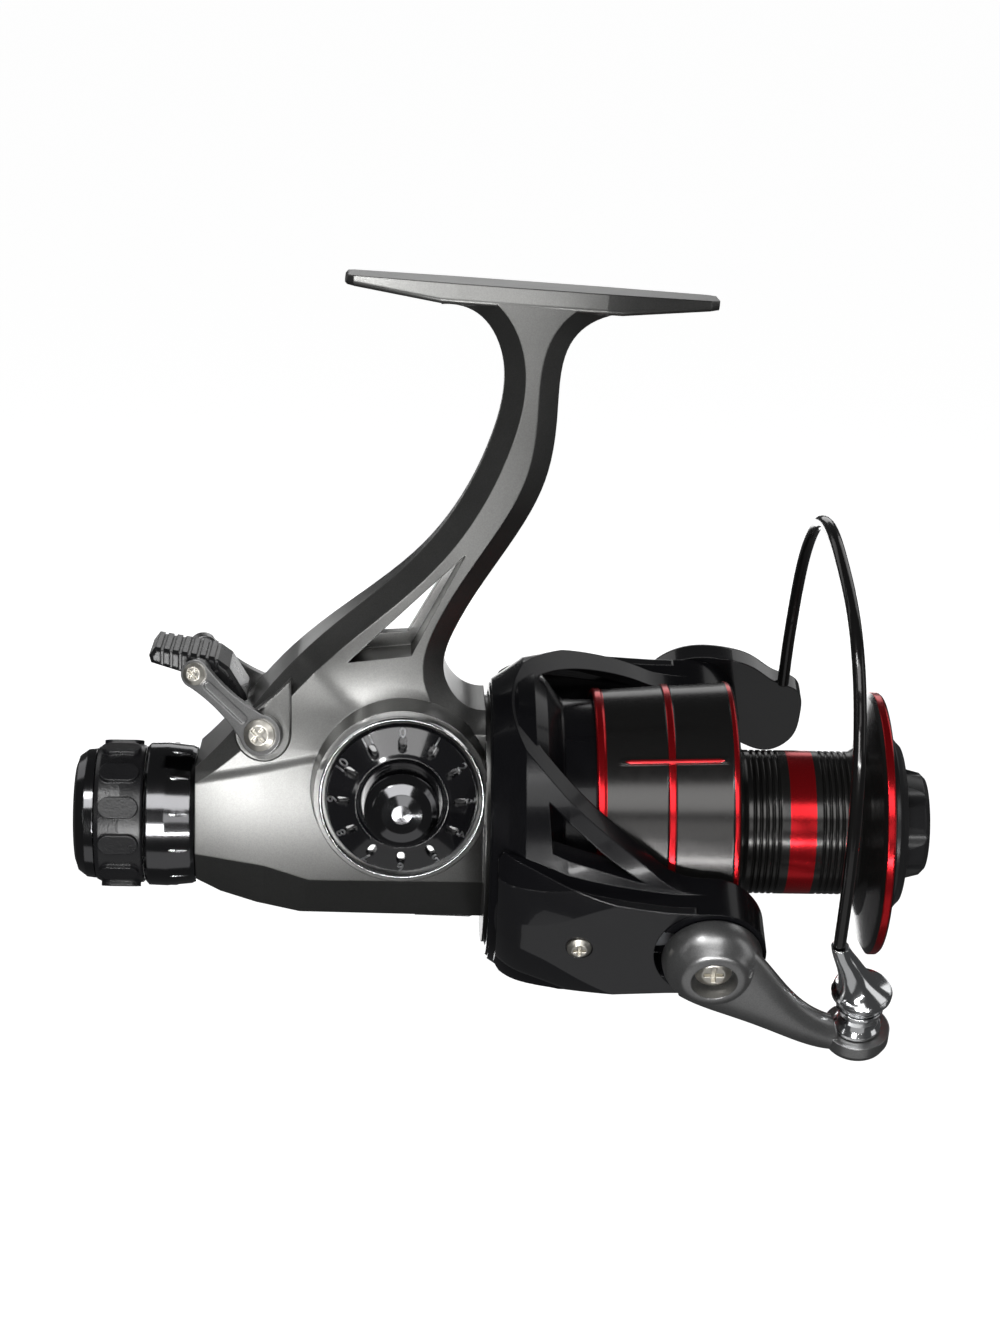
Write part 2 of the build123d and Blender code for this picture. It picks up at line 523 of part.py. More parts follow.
def arm_blank(edge, lead):
    """Both arms seen along them: a smooth edge, which falls by lead at first, and its mirror image,
    joined by a round tip."""
    under = [(x, -t) for x, t in edge]
    with BuildSketch(arm_face(0)) as outline:
        with BuildLine():
            Spline(*edge, tangents=[(1, -lead), (1, 0)])
            Spline(*under, tangents=[(1, lead), (1, 0)])
            ThreePointArc((PIVOT_X, TIP_R), (PIVOT_X + TIP_R, 0), (PIVOT_X, -TIP_R))
            Line(edge[0], under[0])
        make_face()
    extrude(outline.sketch, amount=55, both=True, mode=Mode.INTERSECT)


def arm_side(way, drop, closing):
    """An arm from its flank: its smooth top line, lowered by drop and closed by more points."""
    top = [(x, way * (v - drop)) for x, v in PANEL_TOP]
    with BuildSketch(ARM_PROFILE) as outline:
        with BuildLine():
            Spline(*top)
            Polyline(top[-1], *[(x, way * v) for x, v in closing], top[0])
        make_face()
    extrude(outline.sketch, amount=22, both=True)


def round_shoulders():
    """Rounds an arm off where it leaves the cup."""
    with BuildSketch(SHAFT_PROFILE) as outline:
        with BuildLine():
            Spline(*SHOULDER)
            Polyline(SHOULDER[-1], (50, 0), (-6, 0), SHOULDER[0])
        make_face()
    revolve(outline.sketch, axis=SHAFT, mode=Mode.INTERSECT)


with BuildPart() as arm_struts:
    turned(SHAFT_PROFILE, [(-6, 25.4), (-1.2, 28.9), (4, 29.2), (46, 29.2), (46, 33.0), (30, 33.6),
                           (8, 33.0), (0, 31.4), (-3, 29.2), (-6, 27.2)], SHAFT)
    arm_blank(ARM_OUTLINE, lead=0.25)
    with BuildSketch(arm_face(0)) as windows:
        for way in (-1, 1):
            outer_side = [(x, way * t) for x, t in WINDOW]
            with BuildLine():
                Spline(*outer_side)
                Polyline(outer_side[-1], (WINDOW_FOOT[0], way * WINDOW_FOOT[1]), outer_side[0])
            make_face()
    extrude(windows.sketch, amount=45, both=True, mode=Mode.SUBTRACT)

with BuildPart() as arm_panels:
    for way in (-1, 1):
        arm_side(way, COVER_THICK, [(PIVOT_X, 34), (PIVOT_X, 29.2), (4, 29.2), (-5, 26)])
        slab(ARM_PROFILE, [(20, way * 29.2), (46, way * 29.2), (46, way * ARM_TOP), (20, way * ARM_TOP)],
             22, both=True)
    arm_blank(PANEL, lead=0)
    round_shoulders()

with BuildPart() as cover_recess:
    for way in (-1, 1):
        arm_side(way, COVER_THICK, [(33, 50), (-9, 50), (-9, 27.7)])
    arm_blank(PANEL, lead=0)
    disc(arm_face(-55, PIVOT_X), TIP_R + COVER_GAP, 110, mode=Mode.SUBTRACT)

with BuildPart() as rotor:
    turned(SHAFT_PROFILE, [(ROTOR_REAR, 24.8), (ROTOR_REAR, 26.4), (-5.6, 26.9), (-1.2, ROTOR_R),
                           (2.0, ROTOR_R), (4.4, 27.6), (7.4, CUP_R + 0.4), (9, CUP_R), (35.0, CUP_R),
                           (35.6, 22.8), (35.6, 21.4), (10.2, 21.4), (10.2, 8.4), (12.0, 8.4),
                           (12.0, PINION_R + 0.02), (7.2, PINION_R + 0.02), (7.2, 18.2), (3.4, 24.8)], SHAFT)
    add(arm_struts.part)
    add(arm_panels.part)
    add(cover_recess.part, mode=Mode.SUBTRACT)
    # the struts and panels stand clear of the spool's skirt
    turned(SHAFT_PROFILE, [(7.6, CUP_R), (10, 28.9), (60, 28.9), (60, CUP_R)], SHAFT, mode=Mode.SUBTRACT)
    for way in (-1, 1):
        slab(arm_face(way * 31.0), POCKET, way * 10, mode=Mode.SUBTRACT)
        disc(arm_face(way * 29.0, PIVOT_X), 2.22, way * 12, mode=Mode.SUBTRACT)
        disc(arm_face(way * 30.0, COVER_SCREW_X), SCREW_R, way * 10, mode=Mode.SUBTRACT)
    # post that the trip lever turns on
    disc(arm_face(30.8, TRIP_X), 1.2, 3.0)
rotor.part.label = "rotor"
export_step(rotor.part, "parts/rotor.step")

for name, way in (("near", 1), ("far", -1)):
    with BuildPart() as arm_cover:
        arm_side(way, 0, [(33, 20), (-4.8, 20)])
        arm_blank(PANEL, lead=0)
        round_shoulders()
        under_side = [(x, way * (v - COVER_THICK)) for x, v in PANEL_TOP]
        with BuildSketch(ARM_PROFILE) as below:
            with BuildLine():
                Spline(*under_side)
                Polyline(under_side[-1], (40, under_side[-1][1]), (40, 0), (-9, 0),
                         (-9, under_side[0][1]), under_side[0])
            make_face()
        extrude(below.sketch, amount=22, both=True, mode=Mode.SUBTRACT)
        disc(arm_face(-55, PIVOT_X), TIP_R + COVER_GAP + RUN, 110, mode=Mode.SUBTRACT)
        disc(arm_face(way * 30.0, COVER_SCREW_X), SCREW_R + RUN, way * 10, mode=Mode.SUBTRACT)
        disc(arm_face(way * 35.2, COVER_SCREW_X), 2.5, way * 10, mode=Mode.SUBTRACT)
    arm_cover.part.label = "arm_cover_" + name
    export_step(arm_cover.part, "parts/arm_cover_" + name + ".step")

with BuildPart() as arm_cover_screws:
    for way in (-1, 1):
        seat = Plane(origin=on_arm(COVER_SCREW_X, 0, way * 35.2), x_dir=(1, 0, 0), z_dir=ARM * way)
        screw(seat, 2.3, 1.5, SCREW_R, 3.2)
arm_cover_screws.part.label = "arm_cover_screws"
export_step(arm_cover_screws.part, "parts/arm_cover_screws.step")

with BuildPart() as pinion:
    disc(across(-12.5), PINION_R, 27.3)
    with BuildSketch(across(-19.5)) as pinion_teeth:
        Circle(3.4)
        with PolarLocations(3.7, 8):
            Rectangle(1.3, 1.2)
    extrude(pinion_teeth.sketch, amount=7.4)
    disc(across(-12.2), 4.6, 0.8)
    disc(across(-25), SHAFT_R + RUN, 60, mode=Mode.SUBTRACT)
pinion.part.label = "pinion"
export_step(pinion.part, "parts/pinion.step")

with BuildPart() as clutch_sleeve:
    ring(across(0.3), 5.5, PINION_R, 6.8)
clutch_sleeve.part.label = "clutch_sleeve"
export_step(clutch_sleeve.part, "parts/clutch_sleeve.step")

with BuildPart() as rotor_nut:
    with BuildSketch(across(12.1)) as hexagon:
        RegularPolygon(6.6, 6)
        Circle(PINION_R, mode=Mode.SUBTRACT)
    extrude(hexagon.sketch, amount=3.2)
rotor_nut.part.label = "rotor_nut"
export_step(rotor_nut.part, "parts/rotor_nut.step")

# ---------------------------------------------------------------- bail
with BuildPart() as pivot_screws:
    for way in (-1, 1):
        seat = Plane(origin=on_arm(PIVOT_X, 0, way * PIVOT_SEAT), x_dir=(1, 0, 0), z_dir=ARM * way)
        screw(seat, 3.5, 2.0, 2.2, PIVOT_SEAT - 30.4)
pivot_screws.part.label = "bail_pivot_screws"
export_step(pivot_screws.part, "parts/bail_pivot_screws.step")

# The near bail arm: a domed eye round the pivot, a tapering limb, and a seat below the line roller.
LIMB = [((34.6, 0, 40.6), 8.9, 3.0), ((40.6, -4.8, 40.7), 7.5, 3.0), ((46.8, -10.0, 40.5), 5.3, 2.8),
        ((55, -16.6, 39.2), 4.0, 2.6), ((64, -20.2, 37.6), 3.3, 2.5)]
with BuildPart() as bail_arm:
    limb_sections = []
    for number, ((x, t, v), half_width, half_depth) in enumerate(LIMB):
        before = on_arm(*LIMB[max(number - 1, 0)][0])
        after = on_arm(*LIMB[min(number + 1, len(LIMB) - 1)][0])
        along = (after - before).normalized()
        with BuildSketch(Plane(origin=on_arm(x, t, v), x_dir=ARM.cross(along), z_dir=along)) as section:
            Ellipse(half_width, half_depth)
        limb_sections.append(section.sketch)
    loft(limb_sections)
    with BuildSketch(Plane(origin=on_arm(PIVOT_X, 0, 0), x_dir=(1, 0, 0), z_dir=-RISE)) as eye:
        with BuildLine():
            Polyline((0, 44.4), (0, ARM_TOP + 0.2), (EYE_R - 0.3, ARM_TOP + 0.2), (EYE_R, 37.9))
            Spline((EYE_R, 37.9), (9.2, 39.8), (8.3, 41.8), (6.8, 43.4), (4.8, 44.4),
                   tangents=[(0, 1), (-1, 0.1)])
            Line((4.8, 44.4), (0, 44.4))
        make_face()
    revolve(eye.sketch, axis=Axis(on_arm(PIVOT_X, 0, 0), ARM))
    turned(Plane(origin=on_arm(ROLLER_X, 0, 37.2), x_dir=(1, 0, 0), z_dir=ARM),
           [(0, -22.5), (4.4, -22.5), (5.8, -21.9), (6.3, -20.8), (6.3, -18.3), (0, -18.3)],
           Axis(on_arm(ROLLER_X, 0, 37.2), RISE))
    disc(arm_face(30, PIVOT_X), 2.2 + RUN, 20, mode=Mode.SUBTRACT)
    disc(arm_face(PIVOT_SEAT - 0.05, PIVOT_X), 4.3, 20, mode=Mode.SUBTRACT)
    disc(arm_face(20, PIVOT_X), 11, ARM_TOP - 19.8, mode=Mode.SUBTRACT)
    disc(along_rise(ROLLER_X, -18.3, 37.2), 5.4, 12, mode=Mode.SUBTRACT)
    disc(along_rise(ROLLER_X, -21.2, 37.2), 1.5, 20, mode=Mode.SUBTRACT)
bail_arm.part.label = "bail_arm"
export_step(bail_arm.part, "parts/bail_arm.step")

# The far lever carries the other end of the wire in a block that stands back from the pivot.
with BuildPart() as bail_lever:
    with BuildSketch(arm_face(-ARM_TOP - 0.2)) as lever_outline:
        with BuildLine():
            Spline((26.2, 0), (27.6, 5.6), (34, 10.2), (42, 10.4), (48.6, 8.0), (53.4, 4.4),
                   (57.6, 2.4), (58.8, -4), (57.4, -10.4), (53, -13.6), (47.6, -12), (42, -9.2),
                   (35, -8.8), (28.6, -6.2), periodic=True)
        make_face()
    extrude(lever_outline.sketch, amount=-5.2)
    fillet(bail_lever.faces().sort_by(Axis(on_arm(0, 0, 0), ARM))[0].edges(), 1.6)
    disc(arm_face(-30, PIVOT_X), 2.2 + RUN, -20, mode=Mode.SUBTRACT)
    disc(arm_face(-PIVOT_SEAT + 0.05, PIVOT_X), 4.3, -20, mode=Mode.SUBTRACT)
bail_lever.part.label = "bail_lever"
export_step(bail_lever.part, "parts/bail_lever.step")


def wire_point(angle):
    """Point on the bail wire's centre line: a squarish arch in a plane tipped a little forward."""
    flat = 2 / 2.7
    v = WIRE_HALF * abs(cos(angle)) ** flat * (1 if cos(angle) > 0 else -1)
    t = 1.0 + WIRE_RISE * abs(sin(angle)) ** flat
    return on_arm(56.5 + 0.05 * v + 0.0078 * t, t, v)


WIRE_ANGLES = [radians(a) for a in (0.9, 12, 25, 40, 57, 75, 90, 105, 123, 140, 155, 168, 179.1)]
with BuildPart() as bail_wire:
    with BuildLine() as wire_path:
        Spline(*[wire_point(angle) for angle in WIRE_ANGLES], tangents=[RISE, -RISE])
    with BuildSketch(Plane(origin=wire_path.line @ 0, z_dir=wire_path.line % 0)) as wire_section:
        Circle(WIRE_R)
    sweep(wire_section.sketch, path=wire_path.line)
bail_wire.part.label = "bail_wire"
export_step(bail_wire.part, "parts/bail_wire.step")

# Chrome cone between roller and wire: a turned flange that keeps line on the roller, and a horn
# that closes smoothly on the wire.
FLANGE = [(0, -12.1), (4.3, -12.1), (4.5, -11.4), (5.2, -10.4), (5.7, -9.6), (5.8, -8.8),
          (5.5, -8.2), (0, -8.2)]
HORN = [((ROLLER_X, -8.3, 37.2), 5.5), ((63.2, -6.6, 37.4), 4.0), ((62.0, -4.2, 37.6), 3.0),
        ((60.6, -1.2, 37.8), 2.4), ((59.4, 1.2, 37.9), 2.0), ((58.6, 3.4, 38.0), 1.7)]
with BuildPart() as wire_cone:
    turned(Plane(origin=on_arm(ROLLER_X, 0, 37.2), x_dir=(1, 0, 0), z_dir=ARM), FLANGE,
           Axis(on_arm(ROLLER_X, 0, 37.2), RISE))
    horn_sections = []
    for (x, t, v), radius in HORN:
        with BuildSketch(along_rise(x, t, v)) as section:
            Circle(radius)
        horn_sections.append(section.sketch)
    loft(horn_sections)
    disc(along_rise(ROLLER_X, -12.2, 37.2), 1.5, 3.0, mode=Mode.SUBTRACT)
    add(bail_wire.part, mode=Mode.SUBTRACT)
wire_cone.part.label = "wire_cone"
export_step(wire_cone.part, "parts/wire_cone.step")

ROLLER_BASE = along_rise(ROLLER_X, -18.0, 37.2)
with BuildPart() as line_roller:
    turned(Plane(origin=on_arm(ROLLER_X, 0, 37.2), x_dir=(1, 0, 0), z_dir=ARM),
           [(2.3, -18.0), (4.5, -18.0), (4.5, -17.3), (3.9, -16.4), (3.7, -15.2), (3.9, -14.0),
            (4.5, -13.1), (4.5, -12.4), (2.3, -12.4)], Axis(on_arm(ROLLER_X, 0, 37.2), RISE))
line_roller.part.label = "line_roller"
export_step(line_roller.part, "parts/line_roller.step")

with BuildPart() as roller_pin:
    disc(ROLLER_BASE.offset(-3.1), 1.5, 11.0)
    disc(ROLLER_BASE.offset(-0.25), 2.25, 6.1)
roller_pin.part.label = "roller_pin"
export_step(roller_pin.part, "parts/roller_pin.step")

# Trip lever under the near cover: it throws the bail shut when the handle is turned.
with BuildPart() as trip_lever:
    slab(arm_face(31.3), [(13.6, -1.2), (18, -2.4), (20, -2.4), (28.6, -1.4), (28.6, 1.4), (20, 2.4),
                          (18, 2.4), (13.6, 1.2)], 1.8)
    disc(arm_face(31.0, TRIP_X), 1.2 + RUN, 4, mode=Mode.SUBTRACT)
trip_lever.part.label = "bail_trip_lever"
export_step(trip_lever.part, "parts/bail_trip_lever.step")


def coil_spring(start, radius, wire_r, pitch, length):
    """Round-wire helical spring that runs along +X from a point on its axis."""
    with BuildLine() as spring_path:
        Helix(pitch=pitch, height=length, radius=radius, center=start, direction=(1, 0, 0))
    with BuildSketch(Plane(origin=spring_path.line @ 0, z_dir=spring_path.line % 0)) as spring_wire:
        Circle(wire_r)
    sweep(spring_wire.sketch, path=spring_path.line)


with BuildPart() as bail_spring:
    coil_spring(on_arm(14, 0, -33.0), 1.3, 0.3, 1.7, 14)
bail_spring.part.label = "bail_spring"
export_step(bail_spring.part, "parts/bail_spring.step")

# ---------------------------------------------------------------- main shaft and spool
with BuildPart() as main_shaft:
    disc(across(-77.5), SHAFT_R, 152.5)
main_shaft.part.label = "main_shaft"
export_step(main_shaft.part, "parts/main_shaft.step")

SLIDER_X = OSC_X - OSC_THROW
SLIDER_REAR = SLIDER_X - 3.5
with BuildPart() as slider:
    slab(side(4.2, SLIDER_X), [(-3.5, -113.2), (3.5, -113.2), (3.5, -99.6), (-3.5, -99.6)], 8.4)
    slab(side(-1.2, SLIDER_X), [(-3.5, -113.2), (3.5, -113.2), (3.5, -86.8), (-3.5, -86.8)], 3.0)
    disc(across(SLIDER_REAR - 1), SHAFT_R, 12, mode=Mode.SUBTRACT)
    for y in (-ROD_Y, ROD_Y):
        rod_start = Plane(origin=(SLIDER_REAR - 1, y, ROD_Z), x_dir=(0, 1, 0), z_dir=(1, 0, 0))
        disc(rod_start, ROD_R + RUN, 12, mode=Mode.SUBTRACT)
    with BuildSketch(side(-4.2, SLIDER_X, OSC_Z)) as cam_slot:
        SlotOverall(2 * OSC_THROW + 3.2, 3.0, rotation=90)
    extrude(cam_slot.sketch, amount=-1.0, mode=Mode.SUBTRACT)
slider.part.label = "oscillation_slider"
export_step(slider.part, "parts/oscillation_slider.step")

with BuildPart() as click_wheel:
    with BuildSketch(across(36.2)) as wheel_outline:
        Circle(8.6)
        with PolarLocations(8.9, 24):
            Circle(0.7, mode=Mode.SUBTRACT)
        Circle(SHAFT_R, mode=Mode.SUBTRACT)
    extrude(wheel_outline.sketch, amount=1.8)
click_wheel.part.label = "click_wheel"
export_step(click_wheel.part, "parts/click_wheel.step")

with BuildPart() as click_pawl:
    slab(across(36.4), [(-1.2, 9.4), (-0.4, 8.9), (0.4, 8.9), (1.2, 9.4), (1.2, 11.6), (-1.2, 11.6)], 4.0)
click_pawl.part.label = "click_pawl"
export_step(click_pawl.part, "parts/click_pawl.step")

GROOVES = (44.6, 45.8, 47.0, 48.2, 49.4, 58.0, 59.2, 60.4, 61.6, 62.8)
with BuildPart() as spool:
    turned(SHAFT_PROFILE, [
        (SKIRT_REAR, 24.4), (SKIRT_REAR, 25.3), (13.9, 25.6), (15.0, 25.6), (15.3, 25.35),
        (26.8, 26.2), (27.1, 26.55), (28.2, 26.6), (28.5, 26.3), (39.0, 27.0), (39.4, SKIRT_R),
        (SKIRT_FRONT, SKIRT_R), (40.6, 26.6), (42.4, 15.2), (DRUM_REAR, DRUM_R), (DRUM_FRONT, DRUM_R),
        (65.0, 14.6), (66.2, 18.0), (67.6, 24.4), (68.3, LIP_R), (69.5, LIP_R), (LIP_FRONT, 25.2),
        (69.9, 24.4), (69.0, 18.4), (68.6, 17.9), (68.6, CHAMBER_R), (55.0, CHAMBER_R),
        (55.0, SHAFT_R + RUN), (38.6, SHAFT_R + RUN), (38.6, 5.0), (52.6, 5.0), (52.6, 12.0), (40.4, 12.2),
        (38.6, 22.4), (36.6, 24.4)], SHAFT)
    for x in GROOVES:
        turned(SHAFT_PROFILE, [(x - 0.32, DRUM_R + 1), (x - 0.32, DRUM_R), (x, DRUM_R - 0.5),
                               (x + 0.32, DRUM_R), (x + 0.32, DRUM_R + 1)], SHAFT, mode=Mode.SUBTRACT)
    # raised axial lines across the second ring of the skirt
    for turn in range(4):
        line_angle = radians(SKIRT_LINE_ANGLE + 90 * turn)
        out = Vector(0, cos(line_angle), sin(line_angle))
        lean = Vector(1, 0, 0) + out * SKIRT_TAPER
        centre = Vector(28.2, 0, SHAFT_Z) + out * 25
        with BuildSketch(Plane(origin=centre, x_dir=lean, z_dir=out - Vector(SKIRT_TAPER, 0, 0))) as bar:
            SlotOverall(20.5, 1.0)
        extrude(bar.sketch, amount=1.7)
spool.part.label = "spool"
export_step(spool.part, "parts/spool.step")

with BuildPart() as fibre_washers:
    for number in range(3):
        ring(across(55.1 + 2.5 * number), CHAMBER_R - 0.2, SHAFT_R + 0.3, 1.1)
fibre_washers.part.label = "drag_washers_fibre"
export_step(fibre_washers.part, "parts/drag_washers_fibre.step")

with BuildPart() as metal_washers:
    for number in range(3):
        ring(across(56.3 + 2.5 * number), CHAMBER_R - 0.4, SHAFT_R + 0.02, 1.2)
metal_washers.part.label = "drag_washers_metal"
export_step(metal_washers.part, "parts/drag_washers_metal.step")

with BuildPart() as washer_clip:
    ring(across(62.7), CHAMBER_R, CHAMBER_R - 1.0, 0.8)
washer_clip.part.label = "drag_washer_clip"
export_step(washer_clip.part, "parts/drag_washer_clip.step")

with BuildPart() as drag_knob:
    turned(SHAFT_PROFILE, [(64.4, SHAFT_R + RUN), (64.4, CHAMBER_R - 0.4), (69.4, CHAMBER_R - 0.4),
                           (69.4, 16.9), (70.6, 17.5), (72.0, 17.5), (73.0, 16.2), (73.8, 15.4),
                           (74.1, 11.0), (78.0, 10.0), (79.0, 9.0), (79.0, 2.2), (75.6, 2.2),
                           (75.6, SHAFT_R + RUN)], SHAFT)
    with BuildSketch(across(74.2)) as scallops:
        with PolarLocations(13.0, 8):
            Circle(3.3)
    extrude(scallops.sketch, amount=6, mode=Mode.SUBTRACT)
    with BuildSketch(across(64.4)) as nut_pocket:
        RegularPolygon(5.0, 6)
    extrude(nut_pocket.sketch, amount=3.2, mode=Mode.SUBTRACT)
drag_knob.part.label = "drag_knob"
export_step(drag_knob.part, "parts/drag_knob.step")

with BuildPart() as drag_nut:
    with BuildSketch(across(64.6)) as nut_outline:
        RegularPolygon(4.95, 6)
        Circle(SHAFT_R + RUN, mode=Mode.SUBTRACT)
    extrude(nut_outline.sketch, amount=2.8)
drag_nut.part.label = "drag_nut"
export_step(drag_nut.part, "parts/drag_nut.step")

with BuildPart() as knob_pin:
    turned(SHAFT_PROFILE, [(75.7, 0), (75.7, 2.15), (79.2, 2.15), (79.8, 1.4), (79.9, 0)], SHAFT)
knob_pin.part.label = "drag_knob_pin"
export_step(knob_pin.part, "parts/drag_knob_pin.step")

# ---------------------------------------------------------------- rear tension
with BuildPart() as collar:
    turned(SHAFT_PROFILE, [(-72.0, 10.2), (-72.0, 13.2), (-71.4, 13.8), (-68, 13.9), (-63.2, 13.4),
                           (-62.4, 13.0), (BODY_REAR, 12.4), (BODY_REAR, 10.2)], SHAFT)
    with BuildSketch(across(-66.6)) as ticks:
        with PolarLocations(14.0, 12, start_angle=15):
            SlotOverall(1.2, 0.5)
    extrude(ticks.sketch, amount=3.0, mode=Mode.SUBTRACT)
collar.part.label = "rear_collar"
export_step(collar.part, "parts/rear_collar.step")

with BuildPart() as sleeve:
    turned(SHAFT_PROFILE, [(-76.5, SHAFT_R + RUN), (-76.5, 4.4), (-64.6, 4.4), (-64.6, 9.0), (-62.4, 9.0),
                           (-62.4, 5.0), (-59.0, 5.0), (-59.0, SHAFT_R + RUN)], SHAFT)
sleeve.part.label = "tension_sleeve"
export_step(sleeve.part, "parts/tension_sleeve.step")

with BuildPart() as tension_washers:
    for number in range(3):
        ring(across(-65.7 - 1.1 * number), 9.0, 4.5, 1.0)
tension_washers.part.label = "tension_washers"
export_step(tension_washers.part, "parts/tension_washers.step")

with BuildPart() as tension_spring:
    coil_spring(Vector(-77.9, 0, SHAFT_Z), 6.4, 0.55, 1.9, 8.4)
tension_spring.part.label = "tension_spring"
export_step(tension_spring.part, "parts/tension_spring.step")

with BuildPart() as rear_knob:
    turned(SHAFT_PROFILE, [(-81.4, 3.0), (-81.4, 12.8), (-80.6, 13.2), (-76.5, 13.5), (-72.6, 13.3),
                           (-72.2, 12.9), (-72.2, 10.6), (-78.6, 10.6), (-78.6, 3.0)], SHAFT)
    for turn in range(12):
        lug_angle = radians(30 * turn + 10)
        out = Vector(0, cos(lug_angle), sin(lug_angle))
        centre = Vector(-76.8, 0, SHAFT_Z) + out * 12.6
        with BuildSketch(Plane(origin=centre, x_dir=(1, 0, 0), z_dir=out)) as lug:
            SlotOverall(7.6, 4.0)
        extrude(lug.sketch, amount=1.5)
rear_knob.part.label = "rear_knob_grip"
export_step(rear_knob.part, "parts/rear_knob_grip.step")

with BuildPart() as rear_cap:
    turned(SHAFT_PROFILE, [(-85.7, 0), (-85.6, 9.6), (-85.0, 11.2), (-83.4, 12.4), (-81.6, 12.6),
                           (-81.5, 12.0), (-81.5, 0)], SHAFT)
    chamfer(rear_cap.faces().sort_by(Axis.X)[0].edges(), 0.2)
rear_cap.part.label = "rear_knob_cap"
export_step(rear_cap.part, "parts/rear_knob_cap.step")

# ---------------------------------------------------------------- free-spool lever and switch
LEVER_SIDE = [(-71.2, -70.6), (-70.0, -69.0), (-58.8, -70.8), (-56.0, -72.8), (-52.8, -78.0),
              (-52.6, -79.0),
              (-54.6, -80.8), (-56.6, -79.6), (-60.4, -76.6), (-64.6, -73.9), (-70.8, -72.0)]
FLANK_RIB_FOOT = -73.4   # the ribs run down both flanks to here
PAD_HALF = 7.5
RIB_FLOOR = -69.6
RIB_SLOPE = 0.16         # drop of a rib's floor per millimetre along the pad
with BuildPart() as lever_pad:
    slab(side(PAD_HALF), LEVER_SIDE, 2 * PAD_HALF)
    pad_ends = lever_pad.faces().filter_by(Axis.Y).edges()
    chamfer(pad_ends, 0.7)
    for number in range(7):
        rib_x = -69.0 + 1.7 * number
        rib_z = RIB_FLOOR - RIB_SLOPE * (rib_x + 69.0)
        slab(side(20), [(rib_x, -60), (rib_x + 0.6, -60), (rib_x + 0.6, rib_z), (rib_x, rib_z)], 40,
             mode=Mode.SUBTRACT)
        for way in (-1, 1):
            flank = Plane(origin=(0, way * (PAD_HALF - 0.45), 0), x_dir=(1, 0, 0), z_dir=(0, -1, 0))
            slab(flank, [(rib_x, -60), (rib_x + 0.6, -60), (rib_x + 0.6, FLANK_RIB_FOOT),
                         (rib_x, FLANK_RIB_FOOT)], -way * 3, mode=Mode.SUBTRACT)
lever_pad.part.label = "lever_pad"
export_step(lever_pad.part, "parts/lever_pad.step")

LINK_FOOT_Y = 15.0       # inner face of a link at the pivot
LINK_HEAD_Y = 10.4       # and at the pad
LINK_HEAD_X = -61.8
LINK_HEAD_Z = -73.2
LINK_THICK = 2.0
LINK_WAIST = 2.1         # half the link's width at its narrowest


def link_face(way):
    """Inner face of one of the two links, which lean in towards the pad; local x runs along it."""
    foot_end = Vector(LEVER_X, way * LINK_FOOT_Y, LEVER_Z)
    along = Vector(LINK_HEAD_X, way * LINK_HEAD_Y, LINK_HEAD_Z) - foot_end
    return Plane(origin=foot_end, x_dir=along, z_dir=along.cross(Vector(0, way, 0).cross(along)))


LINK_LENGTH = Vector(LINK_HEAD_X - LEVER_X, LINK_HEAD_Y - LINK_FOOT_Y, LINK_HEAD_Z - LEVER_Z).length
with BuildPart() as lever_links:
    for way in (-1, 1):
        face = link_face(way)
        with BuildSketch(face) as link_outline:
            with BuildLine():
                ThreePointArc((0, 3.9), (LINK_LENGTH * 0.55, LINK_WAIST), (LINK_LENGTH, 2.7))
                Line((LINK_LENGTH, 2.7), (LINK_LENGTH, -2.7))
                ThreePointArc((LINK_LENGTH, -2.7), (LINK_LENGTH * 0.55, -LINK_WAIST), (0, -3.9))
                Line((0, -3.9), (0, 3.9))
            make_face()
            Circle(3.9)
            with Locations((LINK_LENGTH, 0)):
                Circle(2.7)
        extrude(link_outline.sketch, amount=LINK_THICK)
        # round boss between the link and the pad
        pad_side = Plane(origin=(LINK_HEAD_X, way * PAD_HALF, LINK_HEAD_Z), z_dir=(0, way, 0))
        disc(pad_side, 2.4, 3.8)
        with BuildSketch(face.offset(LINK_THICK)) as channel:
            with Locations((LINK_LENGTH / 2 + 0.6, 0)):
                SlotOverall(LINK_LENGTH - 6.2, 1.6)
        extrude(channel.sketch, amount=-1.0, mode=Mode.SUBTRACT)
        for reach in (0, LINK_LENGTH):
            with BuildSketch(face.offset(LINK_THICK)) as screw_hole:
                with Locations((reach, 0)):
                    Circle(SCREW_R)
            extrude(screw_hole.sketch, amount=-3.2, mode=Mode.SUBTRACT)
    disc(side(LINK_FOOT_Y, LEVER_X, LEVER_Z), 1.6, 2 * LINK_FOOT_Y, mode=Mode.SUBTRACT)
lever_links.part.label = "lever_links"
export_step(lever_links.part, "parts/lever_links.step")

with BuildPart() as lever_screws:
    for way in (-1, 1):
        outer_face = link_face(way).offset(LINK_THICK)
        for reach, head in ((0, 3.0), (LINK_LENGTH, 2.1)):
            seat = Plane(origin=outer_face.from_local_coords((reach, 0, 0)), x_dir=outer_face.x_dir,
                         z_dir=outer_face.z_dir)
            screw(seat, head, 1.4, SCREW_R, LINK_THICK - 0.6)
lever_screws.part.label = "lever_screws"
export_step(lever_screws.part, "parts/lever_screws.step")

with BuildPart() as lever_shaft:
    disc(side(LINK_FOOT_Y, LEVER_X, LEVER_Z), 1.6, 2 * LINK_FOOT_Y)
lever_shaft.part.label = "lever_cross_shaft"
export_step(lever_shaft.part, "parts/lever_cross_shaft.step")

